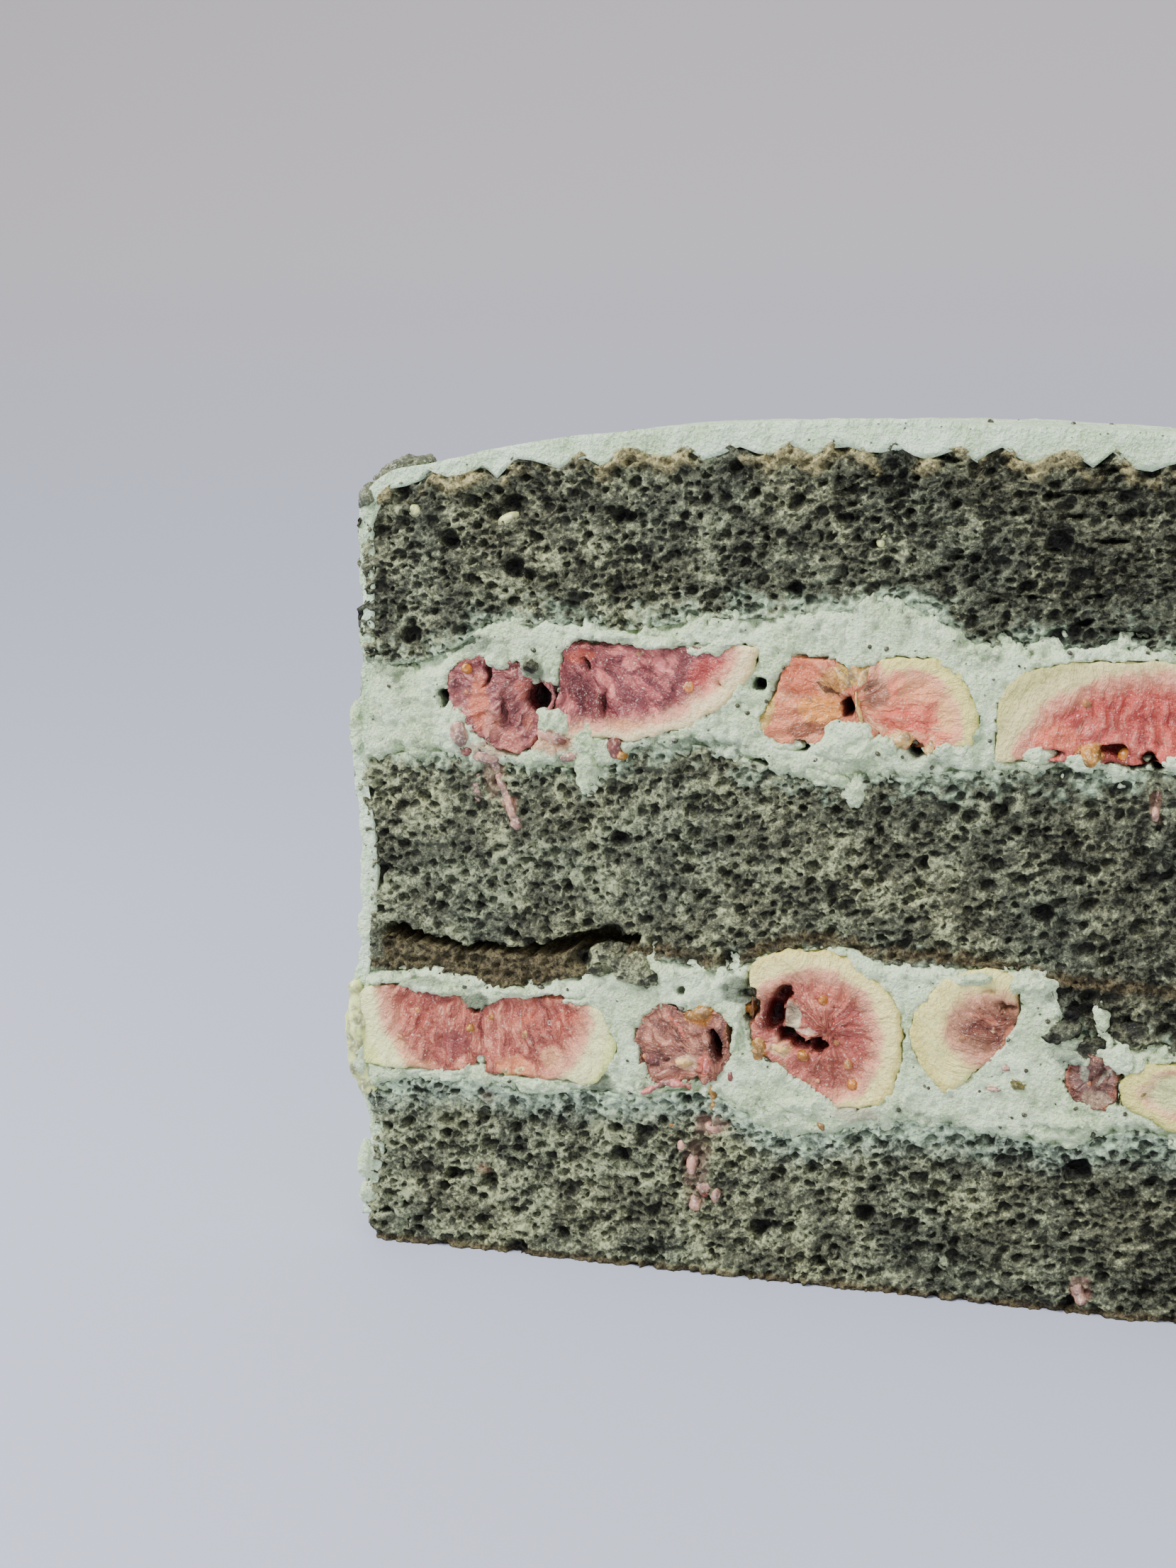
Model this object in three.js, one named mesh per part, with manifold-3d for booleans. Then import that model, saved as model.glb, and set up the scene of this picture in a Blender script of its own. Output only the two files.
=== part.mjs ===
// A slice of layer cake with cut faces in front and behind: three grey-green sponge layers,
// two cream fillings set with pieces of fresh fig, and a coat of pale cream on the top and
// both ends. Millimetres, +Z up, +X to the right along the front cut, +Y into the slice.
// The origin is the middle of the underside.

import * as THREE from 'three';
import { mergeVertices } from 'three/addons/utils/BufferGeometryUtils.js';
import Module from 'manifold-3d';

const wasm = await Module();
wasm.setup();

// Driving sizes of the slice.
const sliceWidth = 118;
const sliceDepth = 48;
const halfDepth = sliceDepth / 2;
const gap = 0.35; // clear space between neighbouring pieces
const endCoat = 1.6; // cream on each end
const coatFoot = 3; // the end coats stop this far above the floor
const crumbDepth = 0.9; // how deep the torn crumb of a cut face is
const crustScallop = 0.7; // the browned top rises and falls by this much
const crustPitch = 5.9; // from one rise of the browned top to the next
const crustFlare = 1.6; // the browned bottom edge spreads this far past the ends
const cornerFlare = 1.9; // and this far past the cut faces, at one corner of each
const figProud = 0.2; // cut fig stands this far out of the cut face
const figPastEnd = 6; // a fig may stick out this far through an end coat
const clearPastCut = 3; // a space cut for a neighbour runs this far past a cut face

// Samples along, across and up each layer, and up the whole coat.
const samplesAlong = 40;
const samplesAcross = 3;
const samplesUp = 3;
const samplesUpCoat = 18;

// A smooth height over x (or half width over z) through a few [place, value] points.
function curveThrough(points) {
  const places = points.map(([place]) => place);
  const values = points.map(([, value]) => value);
  const curve = new THREE.CubicInterpolant(places, values, 1);
  return (place) => curve.evaluate(place)[0];
}

// The lines between the layers, as the front cut shows them.
const frontLines = {
  spongeBottomTop: curveThrough([
    [-59, 19.2], [-50, 20.8], [-40, 20.3], [-26, 20.7], [-18, 21.2], [-11, 18], [-2, 18.8],
    [5, 20.1], [14, 19.6], [21, 18.9], [27, 21], [34, 20.2], [45, 20.6], [59, 19.4],
  ]),
  spongeMiddleFoot: curveThrough([
    [-59, 32.6], [-50, 32.8], [-43, 31.7], [-34, 33.5], [-25, 36.1], [-17, 35.4], [-12, 38.4],
    [-5, 40.1], [1, 38.5], [9, 38.2], [18, 37], [21, 32], [25, 30.4], [33, 30.2], [39, 31.5],
    [44, 35], [52, 34.2], [59, 33.4],
  ]),
  spongeMiddleTop: curveThrough([
    [-59, 57.4], [-50, 58.6], [-39, 57.7], [-31, 57.6], [-26, 60.2], [-19, 60.4], [-11, 58.4],
    [0, 58.2], [14, 59.3], [31, 59.7], [45, 58.9], [59, 57.9],
  ]),
  spongeTopFoot: curveThrough([
    [-59, 68.2], [-52, 68.9], [-42, 73], [-30, 72.7], [-20, 74], [-5, 75.3], [1, 76.7],
    [6, 74.8], [11, 72.1], [20, 72.3], [32, 71.8], [43, 72.4], [52, 70.6], [59, 69],
  ]),
};

// The top of the uppermost sponge before its scallops, and the top of the cream over it.
const crustLine = curveThrough([
  [-59, 84.3], [-56, 87.6], [-52, 89], [-40, 90.7], [-26, 92], [-8, 92.6], [6, 92.4],
  [20, 91.9], [34, 91.1], [46, 89.9], [53, 88.8], [56, 87.4], [59, 84],
]);
const creamLine = curveThrough([
  [-59, 85.6], [-56, 89.5], [-51, 90.5], [-40, 92.8], [-24, 95], [-8, 95.4], [10, 95.4],
  [24, 94.7], [38, 93.1], [50, 90.9], [56, 89.1], [59, 85.3],
]);

// Half the width of the coated slice, which swells where the fillings press outwards.
const coatedHalfWidth = curveThrough([
  [0, 58.9], [5.5, 59.9], [12, 58.9], [20, 60.4], [29, 60.9], [37, 59.6], [47, 59.3],
  [57, 60.3], [66, 59.3], [75, 59.1], [96, 59],
]);

// Behind, each line is a gentle wave about the height that the filling has there.
const longWave = { rise: 0.8, run: 13 };
const shortWave = { rise: 0.4, run: 4.7 };
const waveBehind = (level, phase) => (x) =>
  level
  + longWave.rise * Math.sin(x / longWave.run + phase)
  + shortWave.rise * Math.sin(x / shortWave.run + 2 * phase);
const backLines = {
  spongeBottomTop: waveBehind(20, 0.4),
  spongeMiddleFoot: waveBehind(35.8, 2.1),
  spongeMiddleTop: waveBehind(58.8, 3.3),
  spongeTopFoot: waveBehind(73, 5.2),
};

// A line between layers at x and at v, from -0.5 at the front cut to 0.5 at the back one.
const changeOver = 0.35; // the front line holds up to -0.35 and the back line from 0.35
const layerLine = (name) => (x, v) => {
  const share = THREE.MathUtils.smoothstep(v, -changeOver, changeOver);
  return THREE.MathUtils.lerp(frontLines[name](x), backLines[name](x), share);
};

// The outer lines have no neighbour, so they give back the gap that a layer takes.
const scallopDrift = 3; // the scallops shift by this many radians from front to back
const knifeWave = { rise: 0.25, run: 7, slant: 9 };
const floorLine = () => -gap / 2;
const crustTop = (x, v) =>
  crustLine(x) + gap / 2
  + crustScallop * Math.cos((2 * Math.PI * x) / crustPitch + scallopDrift * v);
const creamTop = (x, v) =>
  creamLine(x) + gap / 2 + knifeWave.rise * Math.sin(x / knifeWave.run + knifeWave.slant * v);
const coatFootLine = () => coatFoot - gap / 2;

// An uneven share from 0 to 1 for each point of a cut face.
function roughness(x, z) {
  return 0.5 + 0.25 * Math.sin(2.3 * x + 1.1 * z) + 0.25 * Math.sin(1.9 * z - 3.1 * x);
}

function toSolid(geometry) {
  geometry.deleteAttribute('normal');
  geometry.deleteAttribute('uv');
  const merged = mergeVertices(geometry, 1e-4);
  const mesh = new wasm.Mesh({
    numProp: 3,
    vertProperties: new Float32Array(merged.attributes.position.array),
    triVerts: new Uint32Array(merged.index.array),
  });
  return new wasm.Manifold(mesh);
}

function toGeometry(solid) {
  const mesh = solid.getMesh();
  const geometry = new THREE.BufferGeometry();
  geometry.setAttribute('position', new THREE.BufferAttribute(mesh.vertProperties, 3));
  geometry.setIndex(new THREE.BufferAttribute(mesh.triVerts, 1));
  geometry.computeVertexNormals();
  return geometry;
}

// A box of one unit. Its top and bottom are split along opposite diagonals, so a layer that
// is turned has the same facets under it as the layer below has on top.
function gridBox(turned, rows) {
  if (!turned) {
    return new THREE.BoxGeometry(1, 1, 1, samplesAlong, samplesAcross, rows);
  }
  const box = new THREE.BoxGeometry(1, 1, 1, samplesAcross, samplesAlong, rows);
  return box.rotateZ(Math.PI / 2);
}

// How near a point of a layer is to the front left or the back right corner.
const nearCorner = (u, v) => Math.max(0, 20 * u * v - 4);

// A layer between two lines. Its cut faces are roughened inwards, and grow makes it larger
// all round, as the space that a neighbour leaves for it. With flare its foot spreads out.
function layer({
  foot, top, rough = 0, turned = false, rows = samplesUp, coat = endCoat, flare = 0, grow = 0,
  past = 0, longer = 0,
}) {
  const box = gridBox(turned, rows);
  const place = box.attributes.position;
  for (let i = 0; i < place.count; i += 1) {
    const u = place.getX(i);
    const v = place.getY(i);
    const w = place.getZ(i) + 0.5;
    const nominalX = u * sliceWidth;
    const low = foot(nominalX, v) + gap / 2 - grow;
    const high = top(nominalX, v) - gap / 2 + grow;
    const z = THREE.MathUtils.lerp(low, high, w);
    const spread = w < 0.01 ? flare : 0;
    const reach = coatedHalfWidth(Math.max(z, 0)) - coat + grow + longer + spread * crustFlare;
    const x = 2 * u * reach;
    const cutFace = Math.abs(v) > 0.49 ? 1 : 0;
    const inward = (1 - spread) * rough * roughness(nominalX, z);
    const corner = spread * cornerFlare * nearCorner(u, v);
    const y = v * (sliceDepth + 2 * cutFace * (past + corner - inward));
    place.setXYZ(i, x, y, z);
  }
  return toSolid(box);
}

// A ball about a point, stretched to three radii.
function ellipsoid([x, y, z], [radiusX, radiusY, radiusZ], sides = 12) {
  const ball = new THREE.SphereGeometry(1, sides, 2 * Math.round(sides / 3.5));
  ball.scale(radiusX, radiusY, radiusZ);
  ball.translate(x, y, z);
  return toSolid(ball);
}

// A large block on the outer side of a plane through (x, z) that faces the angle in degrees
// from +X towards +Z.
function halfSpace(x, z, degrees) {
  const size = 200;
  const block = new THREE.BoxGeometry(size, size, size);
  block.translate(size / 2, 0, 0);
  block.rotateY(-THREE.MathUtils.degToRad(degrees));
  block.translate(x, 0, z);
  return toSolid(block);
}

// The pieces of fig. A lobe is [x, z, radius along, radius up] on a cut face of the slice,
// as deep as the piece says; a hollow is the same with its own depth last. A trim is
// [x, z, degrees], a straight cut whose waste lies in that direction.
const front = -halfDepth;
const back = halfDepth;
const figPieces = [
  {
    name: 'fig_upper_front_1', cut: front, depth: 7, layerName: 'upper',
    lobes: [[-45.4, 66.6, 3, 3.1], [-41.3, 64.4, 5, 5], [-41, 60.9, 3, 2.2]],
    hollows: [[-37.4, 64.2, 2, 1.6, 3.5]],
  },
  {
    name: 'fig_upper_front_2', cut: front, depth: 12, layerName: 'upper',
    lobes: [[-31, 71.5, 17.6, 10.8]],
    trims: [[0, 71.4, 90], [-36, 66, 180]],
    hollows: [[-31.2, 64.2, 2.2, 2.2, 3]],
  },
  {
    name: 'fig_upper_front_3', cut: front, depth: 10, layerName: 'upper',
    lobes: [[-7.2, 65.2, 6, 5.8], [3, 64.2, 7.4, 7.2]],
    trims: [[0, 70.7, 90], [0, 61.3, 270], [-11.9, 66, 158]],
    hollows: [[-2.5, 66.3, 0.8, 2.4, 3]],
  },
  {
    name: 'fig_upper_front_4', cut: front, depth: 13, layerName: 'upper',
    lobes: [[27, 60.6, 14.6, 10.3]],
    trims: [[0, 60.4, 270]],
    hollows: [[29, 61, 1.2, 1, 2]],
  },
  {
    name: 'fig_upper_front_5', cut: front, depth: 8, layerName: 'upper',
    lobes: [[50.4, 64.8, 6.2, 5.2]],
    trims: [[0, 60.6, 270]],
    hollows: [[50, 64.6, 1.6, 1.2, 2.5]],
  },
  {
    name: 'fig_lower_front_1', cut: front, depth: 9, layerName: 'lower',
    lobes: [[-53.2, 26, 8.4, 6.4], [-37.6, 25.8, 8.8, 6.2]],
    trims: [[0, 31.1, 90], [0, 21.5, 270]],
    hollows: [[-45, 30.6, 0.9, 1.5, 3]],
  },
  {
    name: 'fig_lower_front_2', cut: front, depth: 7, layerName: 'lower',
    lobes: [[-22.3, 26.8, 4.2, 4.4], [-18.2, 27.4, 2.7, 3.8]],
    hollows: [[-17.3, 26.5, 1.4, 2, 4]],
  },
  {
    name: 'fig_lower_front_3', cut: front, depth: 11, layerName: 'lower',
    lobes: [[-7.2, 28.2, 10.6, 10.4]],
    trims: [[-13.7, 30, 180], [0, 21.2, 270], [-9.6, 25.4, 235]],
    hollows: [[-9.8, 29.9, 2.4, 2.1, 4]],
  },
  {
    name: 'fig_lower_front_4', cut: front, depth: 10, layerName: 'lower',
    lobes: [[12.7, 30.2, 8.6, 7.4]],
    trims: [[14, 30.6, -24]],
    hollows: [],
  },
  {
    name: 'fig_lower_front_5', cut: front, depth: 4, layerName: 'lower',
    lobes: [[23.6, 26.4, 2.4, 2.7]],
    hollows: [],
  },
  {
    name: 'fig_lower_front_6', cut: front, depth: 8, layerName: 'lower',
    lobes: [[37, 25.6, 10.6, 4.3]],
    trims: [[0, 28.7, 90]],
    hollows: [[38, 25.4, 1.8, 1.2, 2.5]],
  },
  {
    name: 'fig_lower_front_7', cut: front, depth: 9, layerName: 'lower',
    lobes: [[55, 27.4, 6.6, 5.8]],
    trims: [[0, 31.9, 90], [0, 22, 270]],
    hollows: [[54.6, 27, 1.3, 1.3, 2.5]],
  },
  {
    name: 'fig_upper_back_1', cut: back, depth: 9, layerName: 'upper',
    lobes: [[-46.5, 65.8, 8, 6.4]],
    trims: [[0, 61, 270]],
    hollows: [[-46.8, 65.6, 1.8, 1.5, 3]],
  },
  {
    name: 'fig_upper_back_2', cut: back, depth: 12, layerName: 'upper',
    lobes: [[-20, 61.4, 13, 9.6]],
    trims: [[0, 61.2, 270]],
    hollows: [[-21, 62.2, 2.2, 1.2, 3]],
  },
  {
    name: 'fig_upper_back_3', cut: back, depth: 10, layerName: 'upper',
    lobes: [[5.6, 66, 5.8, 5.2], [13.8, 65.6, 6.6, 6]],
    trims: [[0, 70.6, 90], [0, 60.8, 270]],
    hollows: [[9.6, 67, 0.8, 2.2, 3]],
  },
  {
    name: 'fig_upper_back_4', cut: back, depth: 12, layerName: 'upper',
    lobes: [[40, 71.2, 14, 10]],
    trims: [[0, 70.9, 90]],
    hollows: [[39, 67.2, 2.2, 1.7, 3]],
  },
  {
    name: 'fig_lower_back_1', cut: back, depth: 10, layerName: 'lower',
    lobes: [[-49, 27.8, 8.6, 6]],
    trims: [[0, 22.6, 270]],
    hollows: [[-48.6, 28, 2, 1.5, 3]],
  },
  {
    name: 'fig_lower_back_2', cut: back, depth: 10, layerName: 'lower',
    lobes: [[-27, 28, 8.8, 6.4]],
    trims: [[-22.4, 29, 22], [0, 22.4, 270]],
    hollows: [],
  },
  {
    name: 'fig_lower_back_3', cut: back, depth: 12, layerName: 'lower',
    lobes: [[-2, 22.8, 13.4, 10.8]],
    trims: [[0, 22.4, 270]],
    hollows: [[-1, 24, 2.4, 1.2, 3]],
  },
  {
    name: 'fig_lower_back_4', cut: back, depth: 7, layerName: 'lower',
    lobes: [[21.4, 28.4, 5, 4.6], [26, 27.2, 3, 3.4]],
    hollows: [[25.4, 27.6, 1.3, 1.8, 3.5]],
  },
  {
    name: 'fig_lower_back_5', cut: back, depth: 11, layerName: 'lower',
    lobes: [[45.6, 33.6, 11.8, 11]],
    trims: [[0, 33.2, 90]],
    hollows: [[45, 29, 2.6, 1.6, 4]],
  },
];

// One piece of fig, or with grow the space that the cream leaves for it.
const hollowSides = 8;
function figSolid({ cut, depth, lobes, trims = [], hollows = [] }, grow = 0) {
  let solid = null;
  for (const [x, z, along, up] of lobes) {
    const lobe = ellipsoid([x, cut, z], [along + grow, depth + grow, up + grow]);
    solid = solid ? solid.add(lobe) : lobe;
  }
  for (const [x, z, degrees] of trims) {
    const angle = THREE.MathUtils.degToRad(degrees);
    const trim = halfSpace(x + grow * Math.cos(angle), z + grow * Math.sin(angle), degrees);
    solid = solid.subtract(trim);
  }
  if (grow === 0) {
    for (const [x, z, along, up, deep] of hollows) {
      solid = solid.subtract(ellipsoid([x, cut, z], [along, deep, up], hollowSides));
    }
  }
  return solid;
}

// The layers, from the plate upwards, and the space that the coat leaves for each.
const layers = {
  sponge_bottom: {
    foot: floorLine, top: layerLine('spongeBottomTop'), rough: crumbDepth, flare: 1,
  },
  filling_lower: {
    foot: layerLine('spongeBottomTop'), top: layerLine('spongeMiddleFoot'), turned: true,
  },
  sponge_middle: {
    foot: layerLine('spongeMiddleFoot'), top: layerLine('spongeMiddleTop'), rough: crumbDepth,
  },
  filling_upper: {
    foot: layerLine('spongeMiddleTop'), top: layerLine('spongeTopFoot'), turned: true,
  },
  sponge_top: {
    foot: layerLine('spongeTopFoot'), top: crustTop, rough: crumbDepth,
  },
};
const solids = {};
for (const [name, shape] of Object.entries(layers)) {
  solids[name] = layer(shape);
}

// Figs keep within the band of their filling, apart from its cut faces and ends.
const bandShape = { past: figProud, longer: figPastEnd };
const bands = {
  lower: layer({ ...layers.filling_lower, ...bandShape }),
  upper: layer({ ...layers.filling_upper, ...bandShape }),
};

// The coat over the top and ends is hollowed by every layer under it.
let coat = layer({
  foot: coatFootLine, top: creamTop, coat: 0, rows: samplesUpCoat,
});
for (const shape of Object.values(layers)) {
  coat = coat.subtract(layer({ ...shape, rough: 0, grow: gap, past: clearPastCut }));
}

for (const piece of figPieces) {
  const filling = `filling_${piece.layerName}`;
  const clearance = figSolid(piece, gap);
  solids[piece.name] = figSolid(piece).intersect(bands[piece.layerName]);
  solids[filling] = solids[filling].subtract(clearance);
  coat = coat.subtract(clearance);
}

// A bare lump of crumb stands through the coat at the front left corner of the top.
const lumpPlace = [-52.6, -20.6, 88.6];
const lumpRadii = [3.6, 3.4, 2.2];
const lumpSolid = (grow) => ellipsoid(lumpPlace, lumpRadii.map((radius) => radius + grow));
solids.sponge_top = solids.sponge_top.add(lumpSolid(0));
solids.frosting = coat.subtract(lumpSolid(gap));

// A crack opens between the crumb of the middle sponge and the browned strip under it.
const crackDepth = 9;
const crackOutline = new THREE.Shape();
crackOutline.moveTo(-56, 36.4);
crackOutline.splineThru([
  new THREE.Vector2(-48, 34.8), new THREE.Vector2(-41, 34.3), new THREE.Vector2(-31, 36.6),
]);
crackOutline.splineThru([
  new THREE.Vector2(-37, 37), new THREE.Vector2(-43, 36.7), new THREE.Vector2(-50, 37),
  new THREE.Vector2(-56, 37.6),
]);
const crack = new THREE.ExtrudeGeometry(crackOutline, {
  depth: 2 * crackDepth, bevelEnabled: false, curveSegments: 2,
});
crack.rotateX(Math.PI / 2);
crack.translate(0, front + crackDepth, 0);
solids.sponge_middle = solids.sponge_middle.subtract(toSolid(crack));

const finishes = {
  sponge: { color: '#8d9580', roughness: 0.92, metalness: 0 },
  filling: { color: '#cfdccb', roughness: 0.6, metalness: 0 },
  frosting: { color: '#c6d6c6', roughness: 0.62, metalness: 0 },
  fig: { color: '#d98f86', roughness: 0.35, metalness: 0 },
};

const slice = new THREE.Group();
for (const [name, solid] of Object.entries(solids)) {
  const finish = finishes[name.split('_')[0]];
  const mesh = new THREE.Mesh(toGeometry(solid), new THREE.MeshStandardMaterial(finish));
  mesh.name = name;
  slice.add(mesh);
}

export default slice;
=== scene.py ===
import math
import random

import bpy
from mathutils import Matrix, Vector


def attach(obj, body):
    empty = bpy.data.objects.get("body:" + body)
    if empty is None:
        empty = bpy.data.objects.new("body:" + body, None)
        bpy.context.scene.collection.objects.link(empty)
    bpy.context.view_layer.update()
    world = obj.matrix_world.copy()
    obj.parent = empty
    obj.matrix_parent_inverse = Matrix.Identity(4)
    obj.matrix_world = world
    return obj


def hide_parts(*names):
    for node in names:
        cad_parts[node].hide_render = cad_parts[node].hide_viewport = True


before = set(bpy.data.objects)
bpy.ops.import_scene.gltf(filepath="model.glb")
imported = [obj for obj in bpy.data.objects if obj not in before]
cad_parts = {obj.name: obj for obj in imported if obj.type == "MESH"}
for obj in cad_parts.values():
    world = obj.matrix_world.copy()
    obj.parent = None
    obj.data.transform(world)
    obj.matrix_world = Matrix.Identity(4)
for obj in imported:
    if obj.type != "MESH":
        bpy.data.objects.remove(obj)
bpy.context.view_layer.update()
mm = 0.001

# the slice, in millimetres: x along the front cut, y into the slice, z up
cake = {"width": 118, "depth": 48, "coat": 1.6, "coatFoot": 3.0, "changeOver": 16.8}
half = cake["width"] / 2
cut = cake["depth"] / 2

# lines between the layers on the front cut, as [x, z]
lines = {
    "bottomTop": [[-59, 19.2], [-50, 20.8], [-40, 20.3], [-26, 20.7], [-18, 21.2], [-11, 18], [-2, 18.8],
                  [5, 20.1], [14, 19.6], [21, 18.9], [27, 21], [34, 20.2], [45, 20.6], [59, 19.4]],
    "middleFoot": [[-59, 32.6], [-50, 32.8], [-43, 31.7], [-34, 33.5], [-25, 36.1], [-17, 35.4],
                   [-12, 37.2], [-5, 38.6], [1, 37.4], [9, 37.5], [18, 36.8], [21, 32], [25, 30.4],
                   [33, 30.2], [39, 31.5], [44, 35], [52, 34.2], [59, 33.4]],
    "middleTop": [[-59, 57.4], [-50, 58.6], [-39, 57.7], [-31, 57.6], [-26, 60.2], [-19, 60.4],
                  [-11, 58.4], [0, 58.2], [14, 59.3], [31, 59.7], [45, 58.9], [59, 57.9]],
    "topFoot": [[-59, 68.2], [-52, 68.9], [-42, 73], [-30, 72.7], [-20, 74], [-5, 75.3], [1, 76.7],
                [6, 74.8], [11, 72.1], [20, 72.3], [32, 71.8], [43, 72.4], [52, 70.6], [59, 69]],
    "crust": [[-59, 84.9], [-56, 88.5], [-52, 89.5], [-40, 90.9], [-26, 92], [-8, 92.6], [6, 92.4],
              [20, 91.9], [34, 91.1], [46, 89.9], [53, 88.8], [56, 87.4], [59, 84]],
    "cream": [[-59, 85.6], [-56, 89.5], [-51, 90.5], [-40, 92.8], [-24, 95], [-8, 95.4], [10, 95.4],
              [24, 94.7], [38, 93.1], [50, 90.9], [56, 89.1], [59, 85.3]],
}
wavesBehind = {"bottomTop": [20, 0.4], "middleFoot": [35.8, 2.1], "middleTop": [58.8, 3.3],
               "topFoot": [73, 5.2]}  # the same lines behind, as [height, phase]
sideLine = [[0, 58.9], [5.5, 59.9], [12, 58.9], [20, 60.4], [29, 60.9], [37, 59.6], [47, 59.3],
            [57, 60.3], [66, 59.3], [75, 59.1], [96, 59]]  # half the coated width, as [z, x]


class Term:  # one output socket that can be used in sums

    def __init__(self, graph, socket):
        self.graph, self.socket = graph, socket

    def math(self, operation, *others):
        terms = [self, *others]
        return self.graph.node("ShaderNodeMath", {"operation": operation}, dict(enumerate(terms)))

    def __add__(self, other):
        return self.math("ADD", other)

    def __sub__(self, other):
        return self.math("SUBTRACT", other)

    def __mul__(self, other):
        return self.math("MULTIPLY", other)

    def __truediv__(self, other):
        return self.math("DIVIDE", other)

    def __neg__(self):
        return self * -1

    def __rsub__(self, other):
        return self.graph.node("ShaderNodeMath", {"operation": "SUBTRACT"}, {0: other, 1: self})

    __radd__ = __add__
    __rmul__ = __mul__

    def high(self, other):
        return self.math("MAXIMUM", other)

    def low(self, other):
        return self.math("MINIMUM", other)

    def root(self):
        return self.math("SQRT")

    def size(self):
        return self.math("ABSOLUTE")

    def other(self, name):
        return Term(self.graph, self.socket.node.outputs[name])

    def step(self, start, end):  # 0 before start, 1 after end, smooth between
        return self.graph.node("ShaderNodeMapRange", {"interpolation_type": "SMOOTHSTEP"},
                               {"Value": self, "From Min": start, "From Max": end})

    def split(self):
        parts = self.graph.node("ShaderNodeSeparateXYZ", {}, {0: self})
        return parts, parts.other("Y"), parts.other("Z")

    def through(self, points, low, high):  # a curve through [place, value] points
        span = points[-1][0] - points[0][0]
        start = points[0][0]
        spots = [((place - start) / span, (value - low) / (high - low)) for place, value in points]
        curve = self.graph.node("ShaderNodeFloatCurve", {"points": spots}, {"Value": (self - start) / span})
        return curve * (high - low) + low


class Graph:  # a tree of shader or geometry nodes

    def __init__(self, tree):
        self.tree = tree

    def node(self, kind, settings, inputs, output=0):
        made = self.tree.nodes.new(kind)
        for name, value in settings.items():
            if name == "points":
                points = made.mapping.curves[0].points
                for i, spot in enumerate(value):
                    inner = 0 < i < len(value) - 1
                    point = points.new(*spot) if inner else points[-1 if i else 0]
                    point.location = spot
                made.mapping.update()
            else:
                setattr(made, name, value)
        for name, value in inputs.items():
            if isinstance(value, Term):
                self.tree.links.new(value.socket, made.inputs[name])
            else:
                made.inputs[name].default_value = value
        return Term(self, made.outputs[output])

    def vector(self, x, y, z):
        return self.node("ShaderNodeCombineXYZ", {}, {0: x, 1: y, 2: z})

    def scaled(self, vector, by):
        return self.node("ShaderNodeVectorMath", {"operation": "SCALE"}, {0: vector, "Scale": by})

    def move(self, vector, by, share):  # vector + by * share
        return self.node("ShaderNodeVectorMath", {"operation": "MULTIPLY_ADD"},
                         {0: by, 1: (share, share, share), 2: vector})

    def noise(self, place, size, detail=2.0, rough=0.5, output=0):  # size in millimetres
        return self.node("ShaderNodeTexNoise", {}, {"Vector": place, "Scale": 1 / size, "Detail": detail,
                                                    "Roughness": rough}, output)

    def sway(self, place, size, detail, by):  # noise that goes half of by up and down
        return (self.noise(place, size, detail) - 0.5) * by

    def swirl(self, place, size, by):  # the place moved by up to about by millimetres
        drift = self.noise(place, size, 2.0, 0.5, "Color")
        drift = self.node("ShaderNodeVectorMath", {"operation": "SUBTRACT"}, {0: drift, 1: (0.5, 0.5, 0.5)})
        return self.move(place, drift, by * 2)

    def cells(self, place, size, feature="F1"):
        return self.node("ShaderNodeTexVoronoi", {"feature": feature}, {"Vector": place, "Scale": 1 / size})

    def mix(self, share, first, second):
        return self.node("ShaderNodeMix", {"data_type": "RGBA"}, {0: share, 6: first, 7: second}, 2)

    def attribute(self, name):
        return self.node("ShaderNodeAttribute", {"attribute_name": name}, {}, "Fac")


# how bright a surface must be, and how much stronger its tint, to show as a screen brightness
tones = [[0, 1, 1.6], [40, 7, 1.6], [65, 26, 1.5], [88, 54, 1.25], [117, 81, 1.15], [144, 108, 1.4],
         [163, 135, 1.8], [179, 162, 2.3], [191, 189, 2.8], [199, 212, 3.1], [206, 228, 3.2],
         [213, 248, 3.3],
         [221, 272, 3.4], [255, 290, 3.4]]
gain = 1.35  # how much stronger the lights are than those the tones were measured in


def colour(red, green, blue):  # the surface colour that shows as this screen colour in the studio
    middle = min(max((red + green + blue) / 3, 0), 254)
    for (shown, dim, weak), (nextShown, bright, strong) in zip(tones, tones[1:]):
        if shown <= middle < nextShown:
            share = (middle - shown) / (nextShown - shown)
            level = dim + (bright - dim) * share
            stronger = weak + (strong - weak) * share
    parts = [(level + (part - middle) * stronger) / 255 for part in (red, green, blue)]
    parts = [max(part, 0.003) for part in parts]
    parts = [c / 12.92 if c < 0.04045 else ((c + 0.055) / 1.055) ** 2.4 for c in parts]
    return tuple(min(part / gain, 0.9) for part in parts) + (1.0,)


def shifted(shade, red, green, blue):  # the colour of a shade made lighter or darker
    return colour(shade[0] + red, shade[1] + green, shade[2] + blue)


def only(*pieces):  # selects these pieces and nothing else
    bpy.ops.object.select_all(action="DESELECT")
    for piece in pieces:
        piece.select_set(True)
    bpy.context.view_layer.objects.active = pieces[-1]


def finished(piece, kind, settings):  # adds a modifier and applies it
    only(piece)
    modifier = piece.modifiers.new(kind, kind)
    for name, value in settings.items():
        setattr(modifier, name, value)
    bpy.ops.object.modifier_apply(modifier=modifier.name)


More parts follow.
